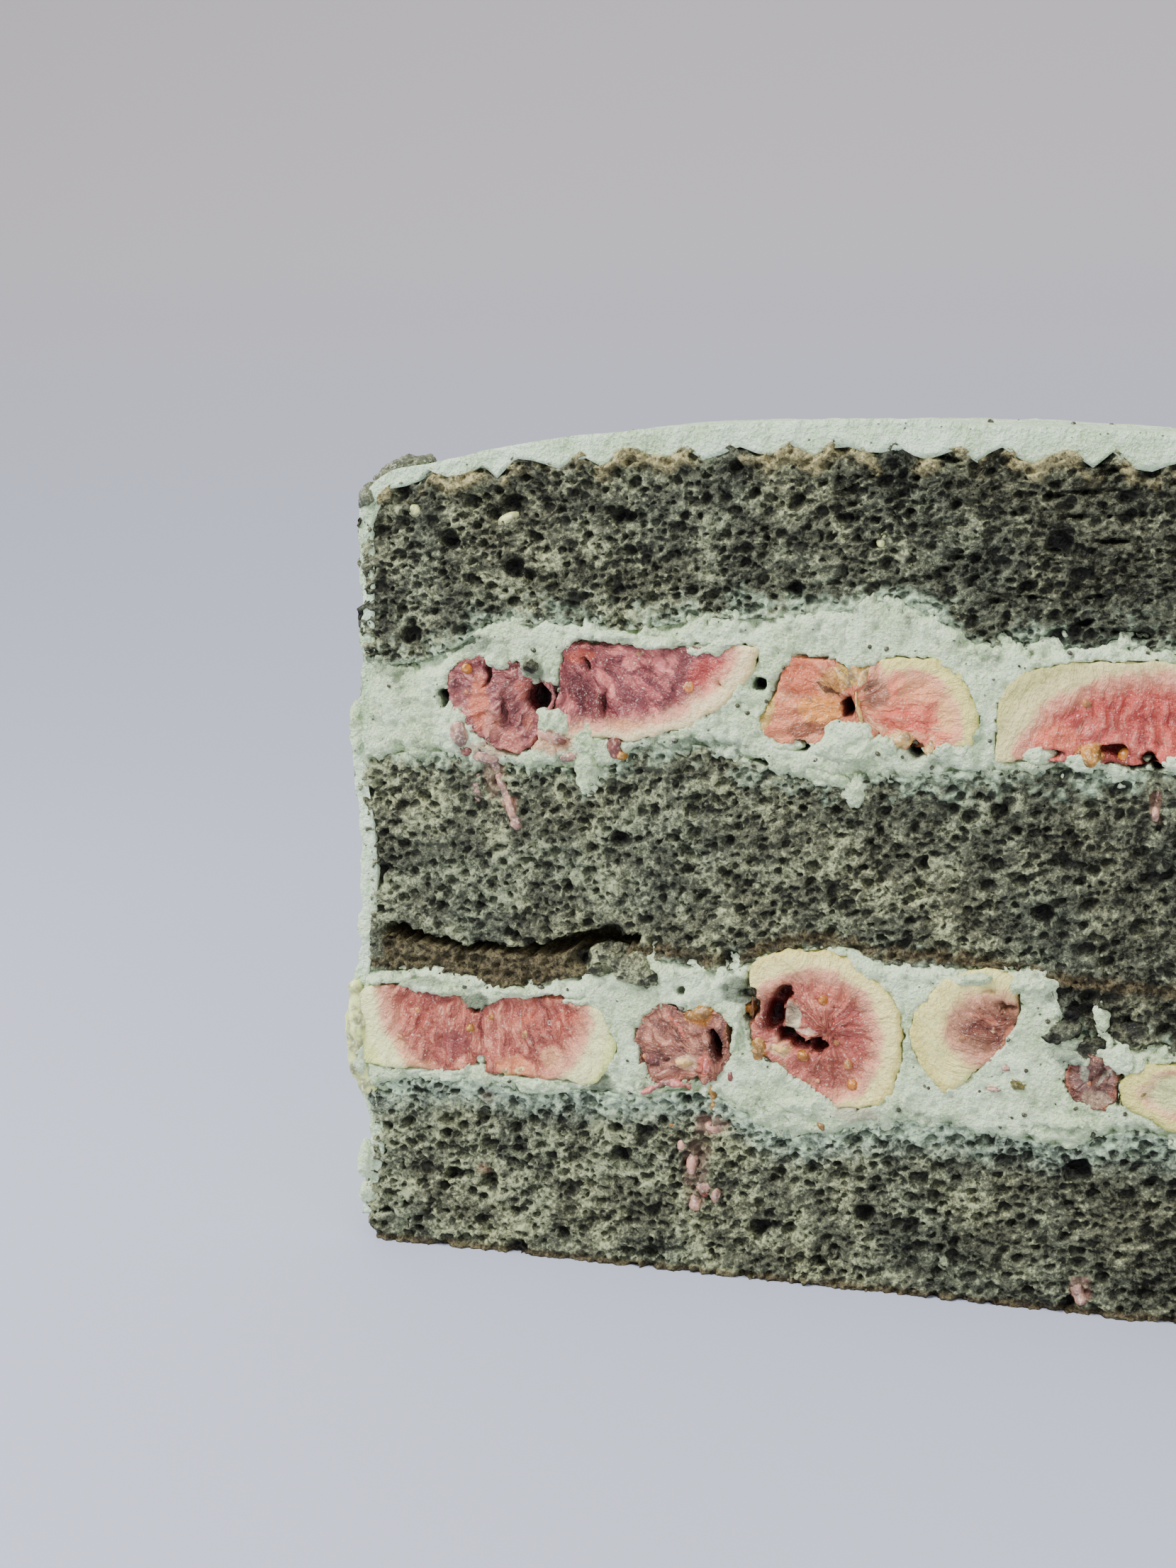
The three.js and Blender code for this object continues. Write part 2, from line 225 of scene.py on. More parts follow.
def shaped(piece, build):  # build() works out each point's new place and stored values, in millimetres
    tree = bpy.data.node_groups.new(piece.name + "Shape", "GeometryNodeTree")
    tree.interface.new_socket("Geometry", in_out="INPUT", socket_type="NodeSocketGeometry")
    tree.interface.new_socket("Geometry", in_out="OUTPUT", socket_type="NodeSocketGeometry")
    graph = Graph(tree)
    start = graph.node("NodeGroupInput", {}, {})
    spot = graph.node("GeometryNodeInputPosition", {}, {})
    place, stored = build(graph, graph.scaled(spot, 1 / mm))
    place = graph.scaled(place, mm)
    for name, value in stored.items():
        start = graph.node("GeometryNodeStoreNamedAttribute", {"data_type": "FLOAT", "domain": "POINT"},
                           {"Geometry": start, "Name": name, "Value": value})
    start = graph.node("GeometryNodeSetPosition", {}, {"Geometry": start, "Position": place})
    end = tree.nodes.new("NodeGroupOutput")
    tree.links.new(start.socket, end.inputs[0])
    finished(piece, "NODES", {"node_group": tree})


def remeshed(piece, voxel):  # joined into one skin of even faces
    finished(piece, "REMESH", {"mode": "VOXEL", "voxel_size": voxel * mm})


def smoothed(piece):
    only(piece)
    bpy.ops.object.shade_smooth()


def thinned(piece, share, test):  # keeps about this share of the faces whose middle passes the test
    only(piece)
    bpy.ops.object.mode_set(mode="EDIT")
    bpy.ops.mesh.select_mode(type="FACE")
    bpy.ops.mesh.select_all(action="DESELECT")
    bpy.ops.object.mode_set(mode="OBJECT")
    for face in piece.data.polygons:
        face.select = test(face.center / mm)
    bpy.ops.object.mode_set(mode="EDIT")
    bpy.ops.mesh.decimate(ratio=share)
    bpy.ops.object.mode_set(mode="OBJECT")


def block(name, columns, rows, depthCuts, low, high):  # a closed block with fine front and back faces
    bpy.ops.object.select_all(action="DESELECT")
    bpy.ops.mesh.primitive_grid_add(x_subdivisions=columns, y_subdivisions=rows, size=1,
                                    location=(0, -cut * mm, (low + high) / 2 * mm),
                                    rotation=(math.pi / 2, 0, 0))
    piece = bpy.context.object
    piece.name = name
    piece.scale = (cake["width"] * mm, (high - low) * mm, 1)
    bpy.ops.object.transform_apply(location=True, rotation=True, scale=True)
    bpy.ops.object.mode_set(mode="EDIT")
    bpy.ops.mesh.select_all(action="SELECT")
    bpy.ops.mesh.duplicate()
    bpy.ops.transform.translate(value=(0, cake["depth"] * mm, 0))
    bpy.ops.mesh.flip_normals()
    bpy.ops.mesh.select_mode(type="EDGE")
    bpy.ops.mesh.select_all(action="DESELECT")
    bpy.ops.mesh.select_non_manifold()
    bpy.ops.mesh.bridge_edge_loops(number_cuts=depthCuts)
    bpy.ops.mesh.select_all(action="SELECT")
    bpy.ops.mesh.normals_make_consistent(inside=False)
    bpy.ops.object.mode_set(mode="OBJECT")
    bpy.ops.object.shade_smooth()
    return piece


def placed(piece, material, slot, *nodes):  # gives a piece its finish and body, and hides the nodes it replaces; slot is not used
    piece.data.materials.clear()
    piece.data.materials.append(material)
    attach(piece, "root")
    if nodes:
        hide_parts(*nodes)


def newFinish(name):  # a material, its graph, its shader and the place in millimetres
    material = bpy.data.materials.new(name)
    material.use_nodes = True
    graph = Graph(material.node_tree)
    place = graph.node("ShaderNodeTexCoord", {}, {}, "Object")
    return material, graph, material.node_tree.nodes["Principled BSDF"], graph.scaled(place, 1 / mm)


# connects a finish: its bump is [strength, distance], soft is [weight, how far red, green and blue reach]
def wired(graph, shader, base, height, bump, rough, soft=None):
    strength, distance = bump
    inputs = {"Height": height, "Strength": strength, "Distance": distance * mm}
    normal = graph.node("ShaderNodeBump", {}, inputs)
    for name, value in {"Base Color": base, "Normal": normal, "Roughness": rough}.items():
        if isinstance(value, Term):
            graph.tree.links.new(value.socket, shader.inputs[name])
        else:
            shader.inputs[name].default_value = value
    if soft:
        weight, *reaches = soft
        shader.inputs["Subsurface Weight"].default_value = weight
        shader.inputs["Subsurface Radius"].default_value = [far * mm for far in reaches]
        shader.inputs["Subsurface Scale"].default_value = 1.0


def withPatches(graph, place, base, colourPatches):  # patches as [x, z, half width, half height, colour, share, turn]
    x, y, z = graph.swirl(graph.swirl(place, 2.6, 0.9), 0.9, 0.35).split()
    front = 1 - y.step(-4, 4)
    for spotX, spotZ, wide, high, shade, share, *turn in colourPatches:
        way = math.radians(sum(turn))
        aside, up = x - spotX, z - spotZ
        across = (aside * math.cos(way) + up * math.sin(way)) / wide
        along = (up * math.cos(way) - aside * math.sin(way)) / high
        patch = 1 - (across * across + along * along).step(0.45, 1.3)
        base = graph.mix(patch * front * share, base, colour(*shade))
    return base


def pits(x, z, holes):  # how far in round pits reach, as [x, z, half width, half height, deep]
    deepest = x * 0
    for holeX, holeZ, wide, high, deep in holes:
        across, up = (x - holeX) / wide, (z - holeZ) / high
        deepest = deepest.high((1 - across * across - up * up).high(0).root() * deep)
    return deepest


def line(name, x, y):  # the height of a line between layers
    front = x.through(lines[name], 0, 100)
    if name == "crust":
        graph = x.graph
        drift = graph.noise(graph.vector(x, y / 3, 0), 9, 1.0) - 0.5
        scallop = (x * (2 * math.pi / 5.9) + drift * 9 + y * (3 / cake["depth"])).math("COSINE")
        rough = graph.noise(graph.vector(x, y, 5), 1.6, 3.0) - 0.5
        return front + scallop * (drift * 2.4 + 0.7) + rough * 0.8
    if name == "cream":
        return front + (x / 7 + y * (9 / cake["depth"])).math("SINE") * 0.25
    level, phase = wavesBehind[name]
    back = level + (x / 13 + phase).math("SINE") * 0.8 + (x / 4.7 + 2 * phase).math("SINE") * 0.4
    share = y.step(-cake["changeOver"], cake["changeOver"])
    return front + (back - front) * share


def reach(z):  # half the coated width at a height
    return z.high(0).through(sideLine, 50, 70)


def laidOut(x, share, foot, top):  # the new x and z of a point at its share of the way up a layer
    newZ = foot + (top - foot) * share
    newX = x / half * (reach(newZ) - cake["coat"])
    return newX, newZ


# the crumb is round bubbles [cell size, smallest and largest radius in cells, share of cells]
# in a rough mass with lumps [size, depth]
crumb = {
    "columns": 560, "rows": 92, "backShare": 0.5,
    "bubbles": [[3.4, 0.2, 0.4, 0.4], [1.9, 0.24, 0.44, 0.66], [1.15, 0.28, 0.48, 0.74],
                [0.7, 0.32, 0.52, 0.6]],
    "colourPatches": [[-43.4, 56.4, 1.3, 3, (166, 142, 130), 0.55], [-41.4, 53, 0.9, 1.2, (190, 160, 148), 0.5],
               [-17.9, 17.6, 2, 1.4, (172, 148, 138), 0.6], [-19.6, 12, 1.6, 4.4, (160, 138, 126), 0.45],
               [29, 56, 0.6, 1.8, (168, 142, 130), 0.5], [-44.9, 10, 0.8, 0.6, (168, 132, 114), 0.5],
               # the near-black patch at x 21.2, z 33.4 is painted shade
               [-44.2, 19, 0.8, 1.2, (146, 128, 120), 0.5], [21.2, 33.4, 1, 0.8, (16, 15, 11), 1],
               [23, 2.6, 1.2, 1.6, (176, 146, 138), 0.5]],
    "lumps": [0.8, 0.55], "wide": 1.18, "drag": 0.0014, "dragFrom": -22, "rise": 0.10,
}


def crumbAt(graph, x, y, z):  # how deep the crumb is torn at a point of a cut face, and how shadowed it is
    dragged = (x - crumb["dragFrom"]).high(0)
    draggedX = x - dragged * dragged * crumb["drag"]
    spot = graph.vector(draggedX / crumb["wide"], y, z - dragged * crumb["rise"])
    cluster = graph.noise(spot, 7, 2.0).step(0.32, 0.68) * 0.7 + 0.65
    spot = graph.swirl(graph.swirl(spot, 1.8, 0.5), 0.6, 0.2)
    height = spot.split()[2]
    deep, shadow = x * 0, x * 0
    for size, least, most, share in crumb["bubbles"]:
        cell = graph.cells(spot, size)
        chance, other, third = cell.other("Color").split()
        radius = chance * (most - least) + least
        there = (other - cluster * share).math("LESS_THAN", 0)
        ball = (radius * radius - cell * cell).high(0).root() * size * 1.15
        deep = deep.high(ball * there)
        upper = ((height - cell.other("Position").split()[2]) / (radius * size)).step(-1.0, 0.5)
        inside = (radius - cell).step(0.0, 0.06) * there
        shadow = shadow.high(inside * (third * 0.3 + 0.7) * (upper * 0.4 + 0.6))
    size, depth = crumb["lumps"]
    deep = deep + (1 - graph.noise(spot, size, 3.0, 0.6).step(0.32, 0.62)) * depth
    rip = graph.noise(graph.vector(x / 5, y / 3, z / 1.2), 1, 3.0)
    rip = rip.step(0.56, 0.7) * x.step(-25, 40) * (z.step(56, 74) * 0.85 + 0.15)
    return deep + rip * 1.5, shadow.high(rip * 0.9)


# the crack over the brown strip: its middle line and its height along x
crack = {
    "from": -57.5, "to": -26, "deep": 8,
    "middle": [[-59, 37.2], [-55, 37.4], [-50, 36.4], [-44, 36.2], [-38, 36.4], [-33, 37.6], [-28, 38.2],
               [-24, 38]],
    "tall": [[-59, -0.5], [-57, 1.0], [-54.5, 1.5], [-51, 0.8], [-45, 0.8], [-39, 1.0], [-34, 1.9],
             [-30, 2.0], [-27, 0.6], [-24, -0.5]],
}


brownBand = [[-59, 33.5], [-31, 34.6], [-25, 37.2], [-17, 36.6], [-12, 38.5], [-5, 39.8], [1, 38.5],
             [9, 38.6], [18, 37.2], [30, 36.4], [45, 36], [59, 35.2]]  # along the middle layer's foot


def spongeLayer(name, footName, topName, low, high):
    piece = block(name, crumb["columns"], crumb["rows"], 5, low, high)

    def build(graph, spot):
        x, y, z = spot.split()
        foot = line(footName, x, y) if footName else x * 0
        top = line(topName, x, y)
        newX, newZ = laidOut(x, (z - low) / (high - low), foot, top)
        side = y.math("SIGN")
        face = y.size().step(cut - 2, cut)
        # at both ends crumb shows beside the cut between smears of the coat
        bare = graph.noise(graph.vector(x / 60, y / 9, newZ), 4.5, 2.0).step(0.42, 0.62) * 0.6 + 0.4
        bare = bare.high(1 - newZ.step(13, 18)) * (1 - newZ.step(85, 88))
        outward = newZ.step(70, 74) + 1.2
        newX = newX + x / half * bare * y.size().step(cut - 5, cut - 1) * outward
        place = graph.vector(newX, y, newZ)
        deep, _ = crumbAt(graph, newX, y, newZ)
        toFoot, toTop = newZ - foot, top - newZ
        # cream is smeared over the borders with the fillings
        toCream = toTop if not footName else toFoot if topName == "crust" else (toFoot + 1.6).low(toTop)
        patch = graph.sway(place, 3.4, 2.0, 11) + graph.sway(place, 0.7, 2.0, 7)
        smear = 1 - (toCream + patch).step(-1.2, 2.6)
        wavy = graph.sway(place, 0.9, 3.0, 0.9) + graph.sway(place, 6, 2.0, 1.3)
        inward = deep * (1 - smear * 0.4) + wavy + 0.45
        fray = graph.sway(place, 1.5, 3.0, 2.4)
        if topName == "crust":  # the scalloped top is browned in patches
            brown = (1 - (toTop + fray).step(1.2, 2.4)) * graph.noise(place, 3.6, 2.0).step(0.38, 0.56)
            brown = brown * newX.step(-58, -56.5)
            inward = inward - brown * 0.7
        elif not footName:  # the underside is browned
            brown = 1 - (toFoot + fray * 0.5).step(0.5, 1.1)
        else:
            band = newX.through(brownBand, 30, 45)
            brown = 1 - ((newZ - band).size() + fray * 1.1).step(0.2, 1.2)
            start, end = crack["from"], crack["to"]
            within = newX.step(start, start + 1) * (1 - newX.step(end - 1, end)) * (1 - y.step(-cut, 0))
            # the brown strip lies under the crack, a gap with a torn upper lip
            middle = newX.through(crack["middle"], 20, 50) + graph.sway(place, 3, 3.0, 1.6)
            tall = newX.through(crack["tall"], -1, 9) + graph.sway(place, 1.1, 3.0, 3)
            torn = graph.swirl(graph.swirl(place, 1.6, 0.6), 0.7, 0.3).split()[2]
            slot = (1 - ((torn - middle).size() - tall / 2).step(-0.2, 0.2)) * within
            inward = inward.high(slot * crack["deep"])
            brown = brown.high((1 - (newZ - middle).step(-0.2, 0.2)) * within)
        newY = y - side * face * inward
        damp = toTop if topName == "bottomTop" else x * 0 + 9
        burnt = x * 0 + (topName != "crust")
        stored = {"smear": smear, "brown": brown, "damp": damp, "burnt": burnt}
        return graph.vector(newX, newY, newZ), stored

    shaped(piece, build)
    thinned(piece, crumb["backShare"], lambda middle: middle.y > cut - 5)
    return piece


def spongeFinish():
    material, graph, shader, place = newFinish("sponge crumb")
    x, y, z = place.split()
    onCut = y.size().step(cut - 4.2, cut - 3.6)
    flatY = y + (y.math("SIGN") * cut - y) * onCut
    deep, shadow = crumbAt(graph, x, flatY, z)
    smear, brown = graph.attribute("smear"), graph.attribute("brown")
    wet = 1 - graph.attribute("damp").step(0.5, 5)
    warm = graph.noise(place, 9, 3.0).step(0.3, 0.7)
    grain = graph.noise(place, 0.4, 3.0, 0.65)
    lit = graph.noise(place, 3.5, 3.0).step(0.3, 0.7)
    # painted shade: the crumb is made darker towards the right, for the light falling off that way, and
    # partly for the denser crumb there
    right = x.step(-30, 50)
    mass = graph.noise(place, 1.3, 3.0, 0.6)
    tone = 0.64 + (grain - 0.5) * 1.8 + (mass - 0.5) * 1.1 + (lit - 0.5) * 0.5
    tone = (tone - right * 0.3 - z.step(64, 74) * 0.12).high(0).low(1)
    dark = graph.mix(warm, colour(64, 64, 50), colour(58, 60, 48))
    middle = graph.mix(warm, colour(136, 137, 119), colour(124, 128, 113))
    light = graph.mix(warm, colour(194, 196, 177), colour(180, 185, 168))
    damp = graph.mix(tone.step(0.1, 0.9), colour(104, 110, 106), colour(192, 200, 192))
    base = graph.mix(tone.step(0.5, 1.0), graph.mix(tone.step(0.0, 0.5), dark, middle), light)
    base = graph.mix(wet * 0.7, base, damp)
    top = graph.mix(grain.step(0.3, 0.6), colour(142, 138, 118), colour(198, 193, 170))
    foot = graph.mix(grain.step(0.3, 0.65), colour(50, 46, 36), colour(142, 130, 103))
    base = graph.mix(brown * 0.9, base, graph.mix(graph.attribute("burnt"), top, foot))
    streak = graph.noise(place, 0.5, 2.0).step(0.3, 0.6) * 0.5 + 0.35
    base = graph.mix(smear * (1 - brown) * streak, base, colour(202, 211, 198))
    # painted shade: the bubble holes are darkened, most at their tops, and the deepest pits are painted near
    # black
    base = graph.mix(shadow * (1 - brown * 0.5) * 0.94, base, colour(22, 22, 17))
    base = graph.mix(deep.step(0.7, 1.7), base, colour(14, 14, 11))
    base = withPatches(graph, place, base, crumb["colourPatches"])
    height = grain * 0.5 + mass * 0.8 - deep * 0.8
    glint = graph.noise(place, 0.25, 1.0).step(0.6, 0.68)
    wired(graph, shader, base, height, [0.8, 0.5], 0.7 - glint * 0.5)
    shader.inputs["Specular IOR Level"].default_value = 0.3
    return material


layers = {
    "spongeTop": ["topFoot", "crust", 74, 92, "sponge_top"],
    "spongeMiddle": ["middleFoot", "middleTop", 38, 58, "sponge_middle"],
    "spongeBottom": ["", "bottomTop", 0, 20, "sponge_bottom"],
}
spongeMaterial = spongeFinish()
for name, (footName, topName, low, high, node) in layers.items():
    piece = spongeLayer(name, footName, topName, low, high)
    placed(piece, spongeMaterial, "sponge", node)
    print(name, len(piece.data.polygons), "faces")
print("sponge layers made")


# the flesh of a fig at its middle, its darkest and its lightest
palettes = {
    "coral": [(214, 152, 145), (192, 116, 113), (232, 196, 187)],
    "salmon": [(220, 176, 160), (206, 150, 134), (230, 206, 190)],
    "crimson": [(180, 122, 122), (128, 70, 76), (224, 182, 178)],
    "wine": [(186, 138, 136), (144, 94, 97), (222, 191, 186)],
    "rose": [(202, 148, 138), (170, 106, 100), (228, 192, 180)],
    "dusty": [(188, 150, 138), (154, 112, 104), (218, 192, 180)],
    "mauve": [(172, 126, 112), (128, 84, 76), (212, 178, 162)],
}
figCut = {"proud": 0.2, "voxel": 0.32, "behindShare": 0.2}

# lobes are [x, z, half width, half height], trims are [x, z, way out in degrees], hollows are
# [x, z, half width, half height, deep], the fibres run out from the heart, and the rind lies
# within the skins, which are the lobes unless they are given
figs = {
    "fig_upper_front_1": {
        "deep": 7, "lobes": [[-45.4, 66.6, 3, 3.1], [-41.3, 64.4, 5, 5], [-41, 60.9, 3, 2.2]],
        "hollows": [[-37.9, 64.7, 1.4, 1.5, 3.4], [-41.8, 63.2, 1.2, 2.2, 0.8], [-43.8, 67.8, 0.6, 1, 1.4]],
        "heart": [-37, 69], "twist": 0.03, "rind": 0.3, "palette": "wine", "colourPatches": [
            [-45.7, 69, 1.8, 1, (170, 100, 98), 0.6], [-45, 64.6, 1.2, 3.2, (216, 168, 152), 0.85],
            [-43.4, 62.2, 1.2, 2, (212, 180, 170), 0.7], [-41.4, 64.2, 1.2, 2.2, (146, 96, 96), 0.5, 20],
            [-39.8, 65.9, 0.7, 1.4, (206, 150, 140), 0.6], [-41.1, 59.7, 1.6, 1.8, (202, 160, 151), 0.8],
            [-41.1, 58.4, 2.2, 0.7, (216, 176, 165), 0.7], [-39.2, 62.4, 0.7, 1, (206, 160, 144), 0.5]]},
    "fig_upper_front_2": {
        "deep": 12, "lobes": [[-31, 71.5, 17.6, 10.8]], "trims": [[0, 71.4, 90], [-35.8, 66, 170]],
        "skins": [[-33.5, 72, 20.2, 12.6]], "shell": (222, 210, 192),
        "hollows": [[-32.5, 69.3, 0.35, 0.9, 1.4], [-17.3, 67.1, 0.55, 0.3, 0.9],
                    [-30.2, 64.6, 0.4, 1.6, 0.9]],
        "heart": [-37.5, 74], "twist": 0.015, "rind": 2.6, "palette": "crimson", "colourPatches": [
            [-32.4, 65.6, 1.7, 3.4, (108, 50, 58), 0.7, 40], [-27.2, 66.2, 3.4, 2.4, (172, 112, 116), 0.35],
            [-30.1, 67.2, 0.5, 1.9, (224, 180, 176), 0.6, 35], [-27.4, 69.5, 0.9, 1, (222, 182, 178), 0.6],
            [-24, 69.2, 0.8, 1.1, (220, 176, 174), 0.5], [-25.4, 66.6, 0.5, 2, (218, 170, 168), 0.45, 50],
            [-18, 68.4, 3.2, 2, (212, 130, 122), 0.65], [-33, 70, 1.6, 0.9, (214, 140, 122), 0.6],
            [-27.2, 61.8, 2.6, 1.3, (218, 184, 156), 0.85], [-29.1, 60, 1.1, 1.3, (168, 104, 92), 0.8],
            [-29.6, 63.4, 0.9, 1.4, (146, 62, 74), 0.6, 30]]},
    "fig_upper_front_3": {
        "deep": 10, "lobes": [[-7.2, 65.2, 6, 5.8], [3, 64.2, 7.4, 7.2]],
        "trims": [[0, 70.7, 90], [0, 61.3, 270], [-11.9, 66, 158]], "shell": (214, 209, 178),
        "skins": [[3.2, 63.6, 7.4, 7.7], [-8.5, 64.6, 12, 12]],
        "hollows": [[-3.2, 65.3, 0.9, 1.1, 3.4], [-0.2, 67, 1.4, 1.4, 0.4], [-7.8, 61.2, 1, 0.45, 2.6],
                    [-9.6, 61.2, 0.5, 0.4, 1.8], [4, 61.6, 1, 0.45, 2.8], [-0.5, 62.2, 0.5, 0.6, 1.6]],
        "heart": [-2.6, 65.4], "rind": 2.2, "palette": "salmon", "colourPatches": [
            [-8.4, 65.6, 5, 5, (212, 174, 152), 0.5],
            [-8.7, 68.6, 2.2, 1.8, (216, 160, 140), 0.8], [-7.9, 66.8, 1.8, 1.4, (212, 150, 126), 0.7],
            [-6.4, 64.9, 2.4, 1.6, (226, 188, 152), 0.85], [-7.8, 62.9, 2.4, 0.9, (160, 110, 86), 0.7],
            [-4.9, 68, 1.5, 1.7, (208, 182, 148), 0.8], [-3.1, 69.2, 1.7, 1.5, (214, 198, 160), 0.9],
            [-5.4, 67.2, 0.3, 1.5, (132, 94, 68), 0.9, 50], [-0.3, 67.1, 1.5, 2, (172, 138, 124), 0.75],
            [1.8, 68.6, 1, 2, (224, 166, 152), 0.7], [4.2, 67.6, 2.4, 1.6, (226, 190, 170), 0.8],
            [3.2, 64.2, 3.2, 1.5, (222, 142, 134), 0.65], [2.4, 62.2, 1.4, 1.1, (226, 206, 184), 0.9],
            [7.4, 65.4, 1.3, 2.4, (228, 202, 176), 0.7], [-12.6, 64, 1, 3, (206, 192, 156), 0.9, -20]]},
    "fig_upper_front_4": {
        "deep": 13, "lobes": [[27, 60.6, 14.6, 10.3]], "trims": [[0, 60.4, 270]], "square": 4.0,
        "skins": [[29.2, 60.4, 17.4, 12.2]], "shell": (212, 208, 184),
        "hollows": [[18, 61.2, 1.2, 0.35, 1.8], [24.4, 61.6, 1.4, 0.7, 2.2],
                    [28, 60.8, 0.9, 1, 3.2]],
        "heart": [27, 96], "rind": 3.2, "palette": "coral", "colourPatches": [
            [24, 66.6, 9, 2.6, (208, 120, 112), 0.5], [18.6, 63, 2.6, 1.6, (230, 176, 160), 0.55],
            # the dark patch at x 24.8, z 61.2 is painted shade in the hollow
            [22.1, 61.4, 1.7, 1.3, (226, 194, 158), 0.9], [24.8, 61.2, 1.8, 1.2, (112, 62, 56), 0.7],
            [13, 62.6, 1.1, 4, (178, 166, 140), 0.85],
            [14.4, 68, 1.6, 1.8, (220, 200, 160), 0.7], [29.4, 63, 1.6, 2, (226, 152, 142), 0.4],
            [33, 66, 4, 2, (206, 116, 112), 0.4]]},
    "fig_upper_front_5": {
        "deep": 8, "lobes": [[50.4, 64.8, 6.2, 5.2]], "trims": [[0, 60.6, 270]],
        "hollows": [[50, 64.6, 1.6, 1.2, 2.5]], "heart": [50, 64.6], "twist": 0.05, "rind": 1.3,
        "palette": "rose"},
    "fig_lower_front_1": {
        "deep": 9, "lobes": [[-53.2, 26, 8.4, 6.4], [-37.6, 25.8, 8.8, 6.2]],
        "trims": [[0, 31.1, 90], [0, 21.5, 270]], "skins": [[-44.6, 29.6, 15.9, 14]],
        "shell": (228, 228, 198),
        "hollows": [[-45.2, 30.4, 1.3, 1.8, 3], [-45.1, 22.6, 0.8, 1.2, 2.2]],
        "heart": [-45, 46], "rind": 3.6, "palette": "rose", "colourPatches": [
            [-48.4, 24.6, 2, 1.8, (178, 116, 118), 0.6], [-44.9, 26.9, 0.35, 1.6, (128, 52, 46), 0.85],
            [-52, 28, 2.4, 2, (196, 124, 114), 0.5], [-50, 30.2, 1.6, 0.9, (176, 106, 106), 0.6],
            [-56, 23, 1.6, 2.4, (222, 196, 170), 0.8], [-53.6, 22.2, 2.6, 0.9, (222, 192, 168), 0.7],
            [-40.8, 22.6, 2.4, 1.3, (224, 186, 166), 0.75], [-36.4, 24, 1.4, 1.6, (228, 198, 180), 0.7],
            [-34, 29, 2.6, 0.9, (208, 138, 124), 0.5], [-46.3, 26.8, 0.5, 0.4, (204, 152, 98), 0.8],
            [-43.6, 28.3, 0.5, 0.4, (204, 152, 98), 0.8], [-41.9, 21.9, 0.5, 0.6, (232, 214, 190), 0.9],
            [-40.4, 22.3, 0.45, 0.4, (232, 214, 194), 0.9], [-39.1, 28.4, 0.7, 0.5, (218, 162, 146), 0.6]]},
    "fig_lower_front_2": {
        "deep": 7, "lobes": [[-22.3, 26.8, 4.2, 4.4], [-18.2, 27.4, 2.7, 3.8], [-24.3, 24.9, 2, 1.6],
                               [-18.7, 24.3, 1.5, 1.9]],
        "hollows": [[-17.5, 26.8, 0.9, 2, 3.6], [-22.6, 24.9, 0.5, 0.3, 0.8]],
        "heart": [-17.5, 23.5], "rind": 0.2, "palette": "dusty", "colourPatches": [
            [-19.4, 30.3, 1.8, 1.1, (204, 156, 96), 0.9], [-16.2, 28.8, 0.5, 1.2, (180, 132, 90), 0.6],
            [-24.6, 24.9, 1.8, 1.1, (152, 110, 100), 0.85], [-20.8, 24.7, 1.6, 1, (222, 206, 192), 0.85],
            # the dark patch at x -17.4, z 27 is painted shade in the hollow
            [-18.6, 24.7, 0.7, 1.4, (222, 170, 160), 0.7], [-17.4, 27, 0.8, 1.9, (84, 42, 40), 0.8],
            [-15.8, 27.9, 0.35, 1.8, (160, 106, 94), 0.7], [-22, 28.9, 0.25, 1.8, (222, 174, 164), 0.6, 30]]},
    "fig_lower_front_3": {
        "deep": 11, "lobes": [[-7.2, 28.2, 10.6, 10.4]],
        "trims": [[-13.7, 30, 180], [0, 21.4, 270], [-9.6, 24.8, 240]],
        "skins": [[-6.9, 28.6, 10.4, 10.2]], "shell": (224, 213, 186),
        "hollows": [[-10, 33.2, 1, 1.4, 2.6], [-10.9, 30.9, 1.3, 1.9, 3.2], [-9.6, 28.6, 1.2, 0.8, 3.4],
                    [-8, 27.8, 1.2, 0.7, 3.6], [-6, 28, 1, 0.7, 2.8], [-13.5, 32, 0.7, 2, 3]],
        "heart": [-5, 29.5], "twist": 0.02, "rind": 2.7, "palette": "rose", "colourPatches": [
            [-8.9, 31, 0.9, 1.9, (214, 212, 198), 0.9], [-7.2, 29.5, 1, 0.5, (224, 208, 196), 0.8],
            [-4.6, 33.6, 2.1, 1.4, (214, 168, 156), 0.7], [-5.4, 33.1, 0.9, 0.8, (196, 122, 112), 0.6],
            # the dark patch at x -10.4, z 31.6 is painted shade in the hollows
            [-12.2, 31.2, 0.8, 2, (170, 120, 106), 0.7], [-10.4, 31.6, 2.2, 3.4, (136, 70, 66), 0.6, -30],
            [-4.4, 24.9, 2.6, 1.8, (176, 118, 106), 0.65],
            # the dark patch at x -5.9, z 27.6 is painted shade in the hollow
            [-5.9, 27.6, 0.9, 0.7, (140, 60, 52), 0.7], [-10.1, 27, 1.4, 0.7, (208, 192, 174), 0.85],
            [-12.6, 26.8, 1, 1.4, (204, 168, 100), 0.85], [-9.8, 24.9, 0.6, 1, (176, 150, 128), 0.8],
            [-2.4, 29.6, 2.6, 3, (198, 118, 116), 0.4], [-3, 22.6, 2.4, 0.8, (216, 182, 168), 0.6]]},
    "fig_lower_front_4": {
        "deep": 10, "lobes": [[12.7, 30.2, 8.6, 7.4]],
        "trims": [[15.6, 33.4, 4], [14.8, 30.7, -24], [13.3, 28.2, -48]],
        "skins": [[12.9, 31, 8.6, 7.9]], "shell": (225, 215, 186),
        "hollows": [[14.4, 34, 1.2, 0.6, 1.6], [12.4, 35.4, 0.9, 0.4, 0.6]],
        "heart": [15, 33], "twist": 0.25, "rind": 4.2, "palette": "mauve", "colourPatches": [
            # the dark patch at x 14.3, z 33.9 is painted shade in the hollow
